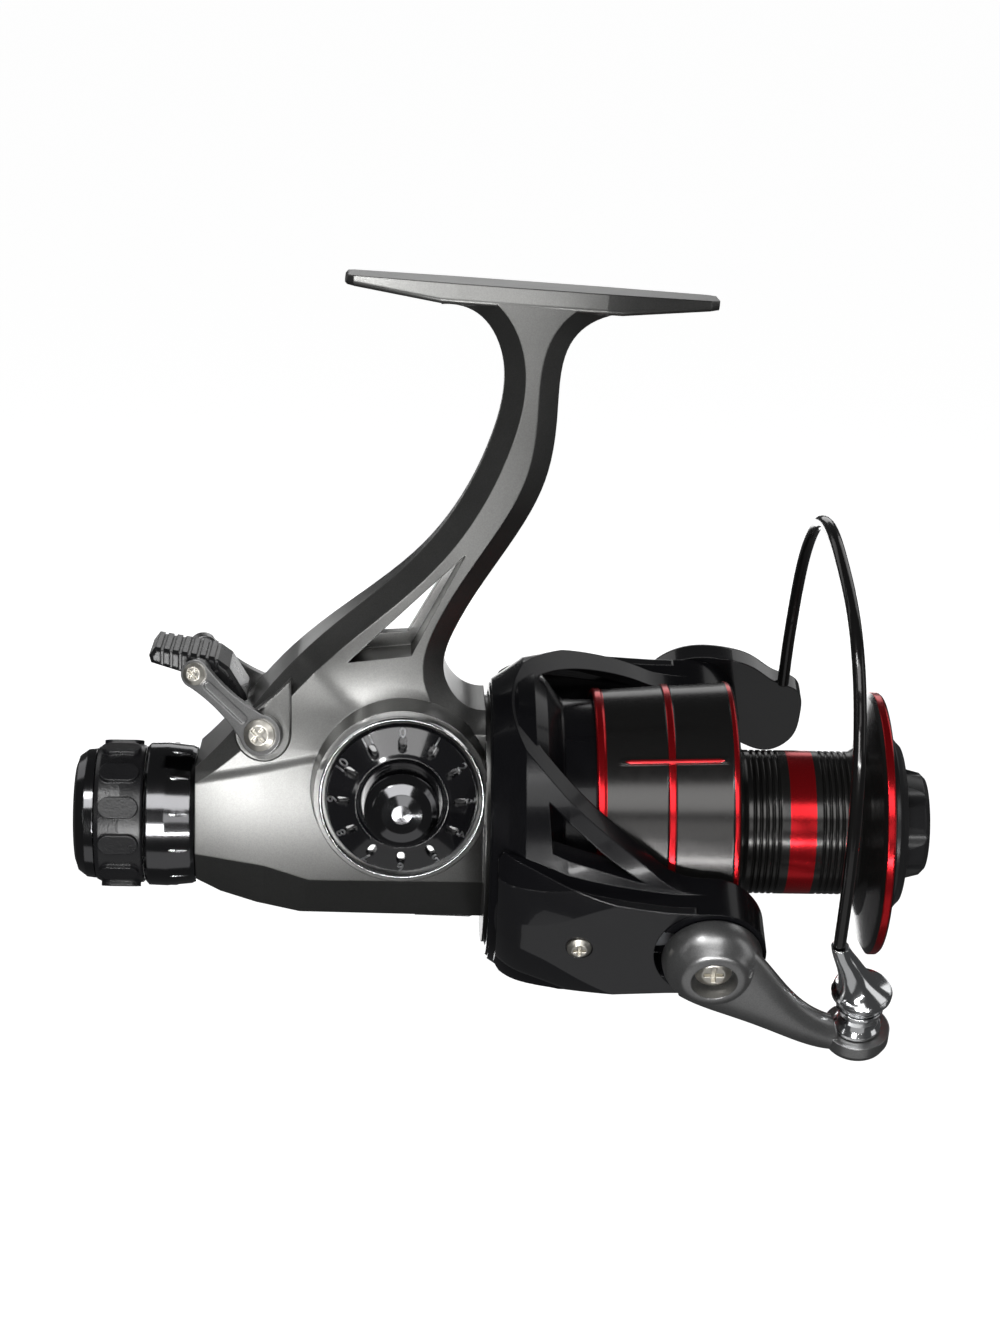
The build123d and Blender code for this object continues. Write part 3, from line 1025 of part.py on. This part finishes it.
with BuildPart() as lever_cam:
    slab(side(4.0, LEVER_X, LEVER_Z), [(-2.2, 0.6), (2.2, 0.6), (1.6, -8.6), (-1.0, -9.4)], 3)
    disc(side(4.0, LEVER_X, LEVER_Z), 2.3, 3)
    disc(side(10.0, LEVER_X, LEVER_Z), 1.6, 20, mode=Mode.SUBTRACT)
lever_cam.part.label = "lever_cam"
export_step(lever_cam.part, "parts/lever_cam.step")

with BuildPart() as switch:
    slab(Plane.XY.offset(-122.9), [(-20, -2.2), (-9.4, -3.0), (-8.2, -1.6), (-8.2, 1.6), (-9.4, 3.0),
                                   (-20, 2.2)], 1.7)
    disc(Plane(origin=(SWITCH_X, 0, -121.3)), 1.6, 5.2)
switch.part.label = "anti_reverse_lever"
export_step(switch.part, "parts/anti_reverse_lever.step")
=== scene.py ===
import bpy
import json
from math import cos, pi, radians, sin
from mathutils import Matrix, Vector


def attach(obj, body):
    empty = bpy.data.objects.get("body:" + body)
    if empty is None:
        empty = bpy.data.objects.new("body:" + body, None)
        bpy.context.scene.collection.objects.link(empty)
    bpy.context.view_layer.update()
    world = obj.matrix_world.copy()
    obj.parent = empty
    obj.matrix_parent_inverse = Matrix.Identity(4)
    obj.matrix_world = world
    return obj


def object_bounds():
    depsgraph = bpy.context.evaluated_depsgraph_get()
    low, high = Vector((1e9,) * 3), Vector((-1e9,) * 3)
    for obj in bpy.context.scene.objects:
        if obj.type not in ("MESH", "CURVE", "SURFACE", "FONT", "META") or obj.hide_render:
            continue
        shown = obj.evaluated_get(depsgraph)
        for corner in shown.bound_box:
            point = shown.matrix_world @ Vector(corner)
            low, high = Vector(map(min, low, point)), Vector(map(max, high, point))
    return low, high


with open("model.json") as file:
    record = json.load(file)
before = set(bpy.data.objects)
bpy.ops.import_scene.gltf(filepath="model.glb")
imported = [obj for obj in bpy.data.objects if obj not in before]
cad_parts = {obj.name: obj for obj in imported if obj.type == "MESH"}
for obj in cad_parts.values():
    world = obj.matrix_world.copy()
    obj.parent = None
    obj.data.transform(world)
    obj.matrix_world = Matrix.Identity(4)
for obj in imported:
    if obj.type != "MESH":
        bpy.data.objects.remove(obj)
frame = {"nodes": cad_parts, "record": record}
cad_low, cad_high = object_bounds()
nodes = frame["nodes"]
scene = bpy.context.scene
MM = 0.001
SHAFT_Z = -103.7                      # the main shaft's height, in millimetres

# ---------------------------------------------------------------- camera, light and floor
CAMERA_UP = 13.2                      # degrees above the horizontal
CAMERA_ROUND = -2.1                   # degrees round from straight in front
CAMERA_ROLL = 1.35                    # degrees
CAMERA_FAR = 0.6                      # metres from the point it looks at
CAMERA_LENS = 84.18                   # focal length in millimetres, on a 36 mm long side
CAMERA_AIM = (-0.0044, 0, -0.0734)
FLOOR_DROP = 0.1                      # metres below the reel, under the bail's lowest reach
FLOOR_REACH = 40                      # metres from the middle to each edge


def camera():
    elevation, azimuth, roll = radians(CAMERA_UP), radians(CAMERA_ROUND), radians(CAMERA_ROLL)
    back = Vector((sin(azimuth) * cos(elevation), -cos(azimuth) * cos(elevation), sin(elevation)))
    right = (-back).cross(Vector((0, 0, 1))).normalized()
    up = back.cross(right)
    turned_right = right * cos(roll) + up * sin(roll)
    turned_up = up * cos(roll) - right * sin(roll)
    data = bpy.data.cameras.new("camera")
    data.lens, data.sensor_width = CAMERA_LENS, 36.0
    data.clip_start, data.clip_end = 0.01, 200
    eye = bpy.data.objects.new("camera", data)
    scene.collection.objects.link(eye)
    place = Matrix((turned_right, turned_up, back)).transposed().to_4x4()
    place.translation = Vector(CAMERA_AIM) + back * CAMERA_FAR
    eye.matrix_world = place
    scene.camera = eye


def softbox(name, azimuth, elevation, distance, size, radiance, aim=(0, 0, -0.09)):
    """Rectangular area light that looks at the reel; azimuth 0 is the camera's side."""
    a, e = radians(azimuth), radians(elevation)
    back = Vector((sin(a) * cos(e), -cos(a) * cos(e), sin(e)))
    data = bpy.data.lights.new(name, "AREA")
    data.shape, data.size, data.size_y = "RECTANGLE", size[0], size[1]
    data.energy = radiance * pi * size[0] * size[1]
    lamp = bpy.data.objects.new(name, data)
    scene.collection.objects.link(lamp)
    lamp.location = Vector(aim) + back * distance
    lamp.rotation_euler = back.to_track_quat("Z", "Y").to_euler()


def floor():
    """White paper with a glow of its own. It doesn't light the reel, show in it or cast a shadow."""
    z, far = cad_low.z - FLOOR_DROP, FLOOR_REACH
    corners = [(-far, -far, z), (far, -far, z), (far, far, z), (-far, far, z)]
    mesh = bpy.data.meshes.new("floor")
    mesh.from_pydata(corners, [], [(0, 1, 2, 3)])
    paper = bpy.data.objects.new("floor", mesh)
    scene.collection.objects.link(paper)
    mesh.materials.append(finish("floor_paper", (0.3, 0.3, 0.3), 0.9, mottle=0.01, scale=20, glow=0.97))
    paper.visible_diffuse = False
    paper.visible_glossy = False
    paper.visible_shadow = False


def studio():
    world = bpy.data.worlds.new("studio")
    scene.world = world
    world.use_nodes = True
    world.node_tree.nodes["Background"].inputs["Color"].default_value = (0.8, 0.81, 0.83, 1)
    world.node_tree.nodes["Background"].inputs["Strength"].default_value = 0.06
    softbox("key", -8, 34, 1.0, (0.9, 0.40), 3.4)
    softbox("window", -34, 42, 0.9, (0.10, 0.14), 30)
    softbox("strip", 4, -18, 0.8, (0.6, 0.026), 45)
    softbox("band", 2, 8, 1.0, (0.4, 0.26), 1.5)
    softbox("front", -10, -9, 0.8, (0.22, 0.20), 10)
    softbox("left_edge", -60, 16, 0.9, (0.03, 0.7), 3)
    softbox("right", 74, 10, 1.0, (0.4, 0.8), 0.7)
    softbox("under", 0, -66, 0.8, (0.9, 0.5), 0.3)
    softbox("back_left", -128, 34, 1.0, (0.6, 0.6), 0.6)
    softbox("back_right", 128, 34, 1.0, (0.6, 0.6), 0.9)
    softbox("rear_key", 176, 20, 1.0, (0.5, 0.3), 1.1)
    softbox("rear_low", 180, -12, 0.9, (0.5, 0.35), 2.2)
    scene.view_settings.view_transform = "Standard"


# ---------------------------------------------------------------- materials
def joined(tree, operation, first, second):
    """Math node that works on two outputs."""
    made = tree.nodes.new("ShaderNodeMath")
    made.operation = operation
    tree.links.new(first, made.inputs[0])
    tree.links.new(second, made.inputs[1])
    return made


# The casting's sides are slightly domed: about (x, z) the surface falls away by the square of the
# distance times the third number, and the domes run into each other. All of this is in metres, and
# only in the paint's normals: the solid has flat sides, no crease, and an edge at REAR_X.
DOMES = [(-0.052, -0.094, 3.6), (-0.010, -0.048, 3.6), (-0.024, -0.058, 5.0)]
DOME_BLEND = 0.001       # how softly one dome runs into the next
REAR_X = -0.049          # behind this the sides draw in; the paint hides the edge there
REAR_DRAW = 1.8 / 13.2   # how far they draw in, per length along the case
REAR_LENGTH = 0.02       # length over which the paint makes up for it
CREASE_SLOPE = 0.215     # climb of the crease along the case
CREASE_LEVEL = -0.0812   # its height where x is 0
CREASE_WIDTH = 0.0026
CREASE_STEP = 0.00035


def casting_swell(tree, spot):
    """Height of the casting's domed sides, in metres."""
    total = None
    for x, z, fall in DOMES:
        flat = tree.nodes.new("ShaderNodeVectorMath")
        flat.operation = "MULTIPLY_ADD"
        flat.inputs[1].default_value = (1, 0, 1)
        flat.inputs[2].default_value = (-x, 0, -z)
        tree.links.new(spot, flat.inputs[0])
        square = tree.nodes.new("ShaderNodeVectorMath")
        square.operation = "DOT_PRODUCT"
        tree.links.new(flat.outputs["Vector"], square.inputs[0])
        tree.links.new(flat.outputs["Vector"], square.inputs[1])
        drop = tree.nodes.new("ShaderNodeMath")
        drop.operation = "MULTIPLY"
        drop.inputs[1].default_value = -fall
        tree.links.new(square.outputs["Value"], drop.inputs[0])
        if total is None:
            total = drop.outputs[0]
        else:
            join = joined(tree, "SMOOTH_MAX", total, drop.outputs[0])
            join.inputs[2].default_value = DOME_BLEND
            total = join.outputs[0]
    # a soft step along a line that climbs towards the spool: the upper side stands proud
    above = tree.nodes.new("ShaderNodeVectorMath")
    above.operation = "DOT_PRODUCT"
    above.inputs[1].default_value = (-CREASE_SLOPE, 0, 1)
    tree.links.new(spot, above.inputs[0])
    step = tree.nodes.new("ShaderNodeMapRange")
    step.interpolation_type = "SMOOTHSTEP"
    step.inputs["From Min"].default_value = CREASE_LEVEL
    step.inputs["From Max"].default_value = CREASE_LEVEL + CREASE_WIDTH
    step.inputs["To Min"].default_value = 0.0
    step.inputs["To Max"].default_value = CREASE_STEP
    tree.links.new(above.outputs["Value"], step.inputs["Value"])
    split = tree.nodes.new("ShaderNodeSeparateXYZ")
    tree.links.new(spot, split.inputs[0])
    behind = tree.nodes.new("ShaderNodeMapRange")
    behind.inputs["From Min"].default_value = REAR_X
    behind.inputs["From Max"].default_value = REAR_X - REAR_LENGTH
    behind.inputs["To Min"].default_value = 0.0
    behind.inputs["To Max"].default_value = REAR_LENGTH * REAR_DRAW
    tree.links.new(split.outputs["X"], behind.inputs["Value"])
    for extra in (step, behind):
        total = joined(tree, "ADD", total, extra.outputs["Result"]).outputs[0]
    return total


FLAKE_SCALE = 5200       # flakes in the paint per metre
GRAIN_DEPTH = 0.0001     # metres


def finish(name, color, rough, metallic=0.0, coat=0.0, coat_rough=0.04, mottle=0.08, scale=300.0,
           grain=0.0, grain_scale=4000.0, fleck=0.0, streak=None, glow=0.0, marks=None, specular=0.5,
           edge=0.00035, crowned=False):
    """Procedural surface: a mottled colour, roughness that varies with it, and a fine grain bump.
    streak scales the grain along each axis; fleck is how much single metal flakes vary in brightness;
    marks is a function that paints over the colour; edge is the radius to which the normals ease
    sharp edges; crowned domes the casting's flat sides in the normals; glow is light given off."""
    made = bpy.data.materials.new(name)
    made.use_nodes = True
    tree = made.node_tree
    shader = tree.nodes["Principled BSDF"]
    shader.inputs["Metallic"].default_value = metallic
    shader.inputs["Coat Weight"].default_value = coat
    shader.inputs["Coat Roughness"].default_value = coat_rough
    shader.inputs["Specular IOR Level"].default_value = specular
    spot = tree.nodes.new("ShaderNodeTexCoord").outputs["Object"]
    if streak:
        stretch = tree.nodes.new("ShaderNodeMapping")
        stretch.inputs["Scale"].default_value = streak
        tree.links.new(spot, stretch.inputs["Vector"])
        grain_spot = stretch.outputs["Vector"]
    else:
        grain_spot = spot
    cloud = tree.nodes.new("ShaderNodeTexNoise")
    cloud.inputs["Scale"].default_value = scale
    cloud.inputs["Detail"].default_value = 4
    tree.links.new(spot, cloud.inputs["Vector"])
    blend = tree.nodes.new("ShaderNodeMix")
    blend.data_type = "RGBA"
    tree.links.new(cloud.outputs["Fac"], blend.inputs["Factor"])
    blend.inputs["A"].default_value = (*[c * (1 - mottle) for c in color], 1)
    blend.inputs["B"].default_value = (*[min(1.0, c * (1 + mottle)) for c in color], 1)
    colour_out = blend.outputs["Result"]
    if fleck:
        cells = tree.nodes.new("ShaderNodeTexVoronoi")
        cells.inputs["Scale"].default_value = FLAKE_SCALE
        tree.links.new(spot, cells.inputs["Vector"])
        bright = tree.nodes.new("ShaderNodeMapRange")
        bright.inputs["To Min"].default_value = 1 - fleck
        bright.inputs["To Max"].default_value = 1 + fleck
        tree.links.new(cells.outputs["Color"], bright.inputs["Value"])
        scaled = tree.nodes.new("ShaderNodeVectorMath")
        scaled.operation = "SCALE"
        tree.links.new(colour_out, scaled.inputs[0])
        tree.links.new(bright.outputs["Result"], scaled.inputs["Scale"])
        colour_out = scaled.outputs["Vector"]
    if marks:
        colour_out = marks(tree, spot, colour_out)
    tree.links.new(colour_out, shader.inputs["Base Color"])
    wear = tree.nodes.new("ShaderNodeMapRange")
    wear.inputs["To Min"].default_value = max(0.02, rough * 0.86)
    wear.inputs["To Max"].default_value = min(1.0, rough * 1.16)
    tree.links.new(cloud.outputs["Fac"], wear.inputs["Value"])
    tree.links.new(wear.outputs["Result"], shader.inputs["Roughness"])
    eased = tree.nodes.new("ShaderNodeBevel")
    eased.samples = 6
    eased.inputs["Radius"].default_value = edge
    base = eased.outputs["Normal"]
    if crowned:
        swell = tree.nodes.new("ShaderNodeBump")
        swell.inputs["Strength"].default_value = 1.0
        swell.inputs["Distance"].default_value = 1.0
        tree.links.new(casting_swell(tree, spot), swell.inputs["Height"])
        tree.links.new(base, swell.inputs["Normal"])
        base = swell.outputs["Normal"]
    tree.links.new(base, shader.inputs["Normal"])
    tree.links.new(base, shader.inputs["Coat Normal"])
    if grain:
        fine = tree.nodes.new("ShaderNodeTexNoise")
        fine.inputs["Scale"].default_value = grain_scale
        fine.inputs["Detail"].default_value = 2
        tree.links.new(grain_spot, fine.inputs["Vector"])
        bump = tree.nodes.new("ShaderNodeBump")
        tree.links.new(base, bump.inputs["Normal"])
        bump.inputs["Strength"].default_value = grain
        bump.inputs["Distance"].default_value = GRAIN_DEPTH
        tree.links.new(fine.outputs["Fac"], bump.inputs["Height"])
        tree.links.new(bump.outputs["Normal"], shader.inputs["Normal"])
    if glow:
        shader.inputs["Emission Color"].default_value = (1, 1, 1, 1)
        shader.inputs["Emission Strength"].default_value = glow
    return made


def within(tree, value, low, high):
    """1 where a value lies in a band, else 0."""
    inside = tree.nodes.new("ShaderNodeMath")
    inside.operation = "COMPARE"
    inside.inputs[1].default_value = (low + high) / 2
    inside.inputs[2].default_value = (high - low) / 2
    tree.links.new(value, inside.inputs[0])
    return inside.outputs[0]


RED_COLOUR = (0.55, 0.012, 0.018)
# along the shaft from and to, and radius from and to, in metres: three rings on the skirt, one
# band on the drum and the lip's rim
RED_BANDS = [((0.0136, 0.01545), (0.0249, 0.028)), ((0.0270, 0.02835), (0.0249, 0.028)),
             ((0.0393, 0.0403), (0.0262, 0.028)), ((0.0514, 0.0564), (0.0130, 0.0149)),
             ((0.0682, 0.0697), (0.0252, 0.028))]


def spool_marks(tree, spot, colour_out):
    """Red anodised rings on the skirt, a red band on the drum and a red rim on the lip."""
    split = tree.nodes.new("ShaderNodeSeparateXYZ")
    tree.links.new(spot, split.inputs[0])
    shifted = tree.nodes.new("ShaderNodeVectorMath")
    shifted.operation = "MULTIPLY_ADD"
    shifted.inputs[1].default_value = (0, 1, 1)
    shifted.inputs[2].default_value = (0, 0, -SHAFT_Z * MM)
    tree.links.new(spot, shifted.inputs[0])
    radius = tree.nodes.new("ShaderNodeVectorMath")
    radius.operation = "LENGTH"
    tree.links.new(shifted.outputs["Vector"], radius.inputs[0])
    along, across = split.outputs["X"], radius.outputs["Value"]
    total = None
    for lengths, radii in RED_BANDS:
        both = joined(tree, "MULTIPLY", within(tree, along, *lengths), within(tree, across, *radii))
        if total is None:
            total = both.outputs[0]
        else:
            total = joined(tree, "MAXIMUM", total, both.outputs[0]).outputs[0]
    paint = tree.nodes.new("ShaderNodeMix")
    paint.data_type = "RGBA"
    tree.links.new(total, paint.inputs["Factor"])
    tree.links.new(colour_out, paint.inputs["A"])
    paint.inputs["B"].default_value = (*RED_COLOUR, 1)
    return paint.outputs["Result"]


MATERIALS = {
    "body_paint": finish("graphite_paint", (0.175, 0.175, 0.17), 0.30, metallic=0.95, crowned=True,
                         mottle=0.05, scale=90, fleck=0.10, grain=0.10, grain_scale=5200),
    "rotor_black": finish("rotor_gloss", (0.005, 0.005, 0.006), 0.22, specular=0.16, coat=0.14,
                          coat_rough=0.06, mottle=0.15, grain=0.03, grain_scale=900),
    "cover_black": finish("cover_gloss", (0.008, 0.008, 0.009), 0.2, specular=0.3, coat=0.9,
                          coat_rough=0.03, mottle=0.12, grain=0.02, grain_scale=700),
    "spool_black": finish("spool_anodised", (0.050, 0.049, 0.048), 0.20, metallic=0.85, mottle=0.06,
                          scale=700, grain=0.06, grain_scale=1500, streak=(6, 0.4, 0.4),
                          marks=spool_marks),
    "bail_paint": finish("bail_arm_paint", (0.30, 0.30, 0.30), 0.31, metallic=0.9, coat=0.3,
                         coat_rough=0.15, mottle=0.06, scale=200, fleck=0.12, grain=0.10,
                         grain_scale=5000),
    "wire_black": finish("wire_gloss", (0.030, 0.029, 0.029), 0.15, metallic=0.8, coat=0.6, mottle=0.1,
                         grain=0.03, grain_scale=1500),
    "chrome": finish("chrome", (0.88, 0.89, 0.90), 0.12, metallic=1.0, mottle=0.02, grain=0.02,
                     grain_scale=900),
    "screw_steel": finish("nickel_screw", (0.78, 0.75, 0.68), 0.34, metallic=1.0, mottle=0.08, scale=900,
                          grain=0.15, grain_scale=2500),
    "steel": finish("ground_steel", (0.58, 0.58, 0.60), 0.26, metallic=1.0, mottle=0.06, scale=600,
                    grain=0.10, grain_scale=2500, streak=(0.3, 3, 3)),
    "brass": finish("turned_brass", (0.72, 0.52, 0.24), 0.25, metallic=1.0, mottle=0.08, scale=600,
                    grain=0.10, grain_scale=3000),
    "zinc": finish("die_cast_zinc", (0.42, 0.43, 0.45), 0.42, metallic=1.0, mottle=0.10, scale=500,
                   grain=0.20, grain_scale=2600),
    "dial_black": finish("dial_gloss", (0.006, 0.006, 0.007), 0.12, coat=0.7, coat_rough=0.03, mottle=0.1,
                         grain=0.02, grain_scale=900),
    "dark_chrome": finish("black_chrome", (0.16, 0.16, 0.165), 0.12, metallic=1.0, mottle=0.05,
                          grain=0.02, grain_scale=900),
    "rubber": finish("ribbed_rubber", (0.010, 0.010, 0.011), 0.28, specular=0.6, mottle=0.15,
                     grain=0.35, grain_scale=2200),
    "knob_black": finish("knob_satin", (0.014, 0.014, 0.015), 0.30, mottle=0.12, grain=0.15,
                         grain_scale=3000),
    "nylon": finish("moulded_nylon", (0.70, 0.68, 0.62), 0.45, mottle=0.05, grain=0.1, grain_scale=2000),
    "fibre": finish("oiled_fibre", (0.20, 0.15, 0.10), 0.6, mottle=0.25, scale=1500, grain=0.5,
                    grain_scale=4000),
}
FIGURES = finish("dial_figures", (0.33, 0.33, 0.34), 0.3, metallic=1.0, mottle=0.05, grain=0.05)
RED = finish("red_anodised", RED_COLOUR, 0.22, metallic=0.7, coat=0.4, mottle=0.06, grain=0.04,
             grain_scale=1500)

for entry in frame["record"]["subparts"]:
    cad = nodes[entry["node"]]
    if not cad.material_slots:
        cad.data.materials.append(None)
    for holder in cad.material_slots:
        holder.material = MATERIALS[entry["material_slot"]]
nodes["lever_links"].material_slots[0].material = MATERIALS["bail_paint"]


# ---------------------------------------------------------------- detail pieces, in millimetres
def piece(name, points, faces, surface, body, smooth=True):
    """Mesh piece from points in millimetres, riding on a body."""
    mesh = bpy.data.meshes.new(name)
    mesh.from_pydata([Vector(p) * MM for p in points], [], faces)
    mesh.validate()
    mesh.update()
    mesh.materials.append(surface)
    for face in mesh.polygons:
        face.use_smooth = smooth
    made = bpy.data.objects.new(name, mesh)
    scene.collection.objects.link(made)
    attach(made, body)
    return made


# a ridge's cross section: sideways in widths and up in heights, open where it sinks into the solid
BEAD = [(-0.5, -0.6), (-0.47, 0.35), (-0.30, 0.85), (0, 1.0), (0.30, 0.85), (0.47, 0.35), (0.5, -0.6)]


def bead(points, outs, width, height, ends=0.25):
    """Points and faces of a rounded ridge that follows a line of points on a surface."""
    verts, faces = [], []
    count = len(points)
    for i, point in enumerate(points):
        ahead = Vector(points[min(i + 1, count - 1)]) - Vector(points[max(i - 1, 0)])
        out = Vector(outs[i]).normalized()
        sideways = ahead.normalized().cross(out).normalized()
        shrink = ends if i in (0, count - 1) else 1.0
        for across, up in BEAD:
            wide_step = sideways * (across * width * shrink)
            verts.append(Vector(point) + wide_step + out * (up * height * shrink))
    wide = len(BEAD)
    for i in range(count - 1):
        for j in range(wide - 1):
            a = i * wide + j
            faces.append((a, a + 1, a + wide + 1, a + wide))
    faces.append(tuple(range(wide)))
    faces.append(tuple(range((count - 1) * wide, count * wide))[::-1])
    return verts, faces


def gather(parts):
    """Several (points, faces) lists as one."""
    verts, faces = [], []
    for some, more in parts:
        start = len(verts)
        verts += list(some)
        faces += [tuple(n + start for n in face) for face in more]
    return verts, faces


CASE_HALF = 14.6                      # half width of the gear case at its widest
# height and half width of the case, from the stem down
CASE_WIDTHS = [(-50, 6.6), (-63, 9.6), (-76, 13.2), (-82, 14.1), (-88, CASE_HALF), (-112.3, CASE_HALF)]
SEAT = (-49.3, -83.7)                 # the free-spool lever's pivot, along and up
SEAT_R = 5.4
SEAT_TAIL = [(SEAT_R, 4), (5.2, 10.4), (2.4, 7.6), (-1.6, 4.4)]    # from the pivot, towards the stem
SEAT_LEVELS = [(-1.2, 1.0), (0.30, 1.0), (0.55, 0.93)]             # out from the case, and width


def body_half(x, z):
    """Half width of the gear case at a place along and up, drawn in towards its rear."""
    half = CASE_HALF
    for (z0, h0), (z1, h1) in zip(CASE_WIDTHS, CASE_WIDTHS[1:]):
        if z1 <= z <= z0:
            half = h0 + (h1 - h0) * (z0 - z) / (z0 - z1)
    if x < REAR_X / MM:
        half = min(half, CASE_HALF - REAR_DRAW * (REAR_X / MM - x))
    return half


def lever_seats():
    """Raised seat on the gear case round the free-spool lever's pivot."""
    for way, tag in ((-1, "near"), (1, "far")):
        rim = [(SEAT_R * cos(a), SEAT_R * sin(a)) for a in (radians(180 + 12 * n) for n in range(16))]
        rim += SEAT_TAIL
        plate, faces = [], []
        for level, grow in SEAT_LEVELS:
            for x, z in rim:
                px, pz = SEAT[0] + x * grow, SEAT[1] + z * grow
                plate.append((px, way * (body_half(px, pz) + level), pz))
        count = len(rim)
        for level in (0, 1):
            for n in range(count):
                m = (n + 1) % count
                faces.append((level * count + n, level * count + m, (level + 1) * count + m,
                              (level + 1) * count + n))
        faces.append(tuple(range(2 * count, 3 * count)))
        faces.append(tuple(range(count))[::-1])
        if way == 1:
            faces = [face[::-1] for face in faces]
        piece("lever_seat_" + tag, plate, faces, MATERIALS["body_paint"], "body",
              smooth=False)


DIAL_CENTRE = Vector((-23.0, -22.58, -94.0))
DIAL_SLOPE = radians(28.5)            # tilt of the numbered face away from the dial's axis
NUMBER_R = 12.9
NUMBER_SUNK = 0.02


def dial_numbers():
    """Raised figures round the notched dial, a plain scale."""
    front = Vector((0, -1, 0))
    for number in range(12):
        turn = radians(90 - 30 * number)
        out = Vector((cos(turn), 0, sin(turn)))
        normal = front * cos(DIAL_SLOPE) + out * sin(DIAL_SLOPE)
        across = out.cross(front).normalized()
        up = normal.cross(across)
        curve = bpy.data.curves.new("dial_number_%02d" % number, "FONT")
        curve.body = str(number)
        curve.size = 0.0027
        curve.extrude = 0.00010
        curve.bevel_depth = 0.00004
        curve.align_x, curve.align_y = "CENTER", "CENTER"
        curve.materials.append(FIGURES)
        text = bpy.data.objects.new("dial_number_%02d" % number, curve)
        scene.collection.objects.link(text)
        spot = DIAL_CENTRE + out * NUMBER_R - normal * NUMBER_SUNK
        place = Matrix((across, up, normal)).transposed().to_4x4()
        place.translation = spot * MM
        text.matrix_world = place
        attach(text, "crank")


COLLAR_R = 13.62
TICK_LINE = (-67.4, -67.0, -66.2, -65.8)      # points along the shaft
TICK_WIDTH, TICK_HEIGHT = 0.55, 0.22


def collar_ticks():
    """Pale inlaid marks round the rear collar."""
    parts = []
    for number in range(12):
        turn = radians(15 + 30 * number)
        out = Vector((0, cos(turn), sin(turn)))
        spot = Vector((0, 0, SHAFT_Z)) + out * COLLAR_R
        line = [spot + Vector((x, 0, 0)) for x in TICK_LINE]
        parts.append(bead(line, [out] * len(line), TICK_WIDTH, TICK_HEIGHT))
    verts, faces = gather(parts)
    piece("collar_ticks", verts, faces, MATERIALS["chrome"], "body")


SKIRT_BACK = 18.2                     # where the red lines start, along the shaft
SKIRT_R, SKIRT_TAPER = 25.55, 0.069   # the bars' outer radius there, and its growth per length
LINE_TURN, LINE_LENGTH, LINE_STEPS = 139.5, 20.0, 12
LINE_WIDTH, LINE_HEIGHT, LINE_PROUD = 1.12, 0.52, 0.1


def skirt_lines():
    """Red axial lines over the raised bars of the spool's skirt."""
    for number in range(4):
        turn = radians(LINE_TURN + 90 * number)
        out = Vector((0, cos(turn), sin(turn)))
        line = []
        for n in range(LINE_STEPS + 1):
            x = SKIRT_BACK + LINE_LENGTH * n / LINE_STEPS
            radius = SKIRT_R + SKIRT_TAPER * (x - SKIRT_BACK) + LINE_PROUD
            line.append(Vector((x, 0, SHAFT_Z)) + out * radius)
        verts, faces = bead(line, [out] * len(line), LINE_WIDTH, LINE_HEIGHT, ends=0.5)
        piece("skirt_line_%d" % number, verts, faces, RED, "spool")


lever_seats()
dial_numbers()
collar_ticks()
skirt_lines()

camera()
studio()
floor()
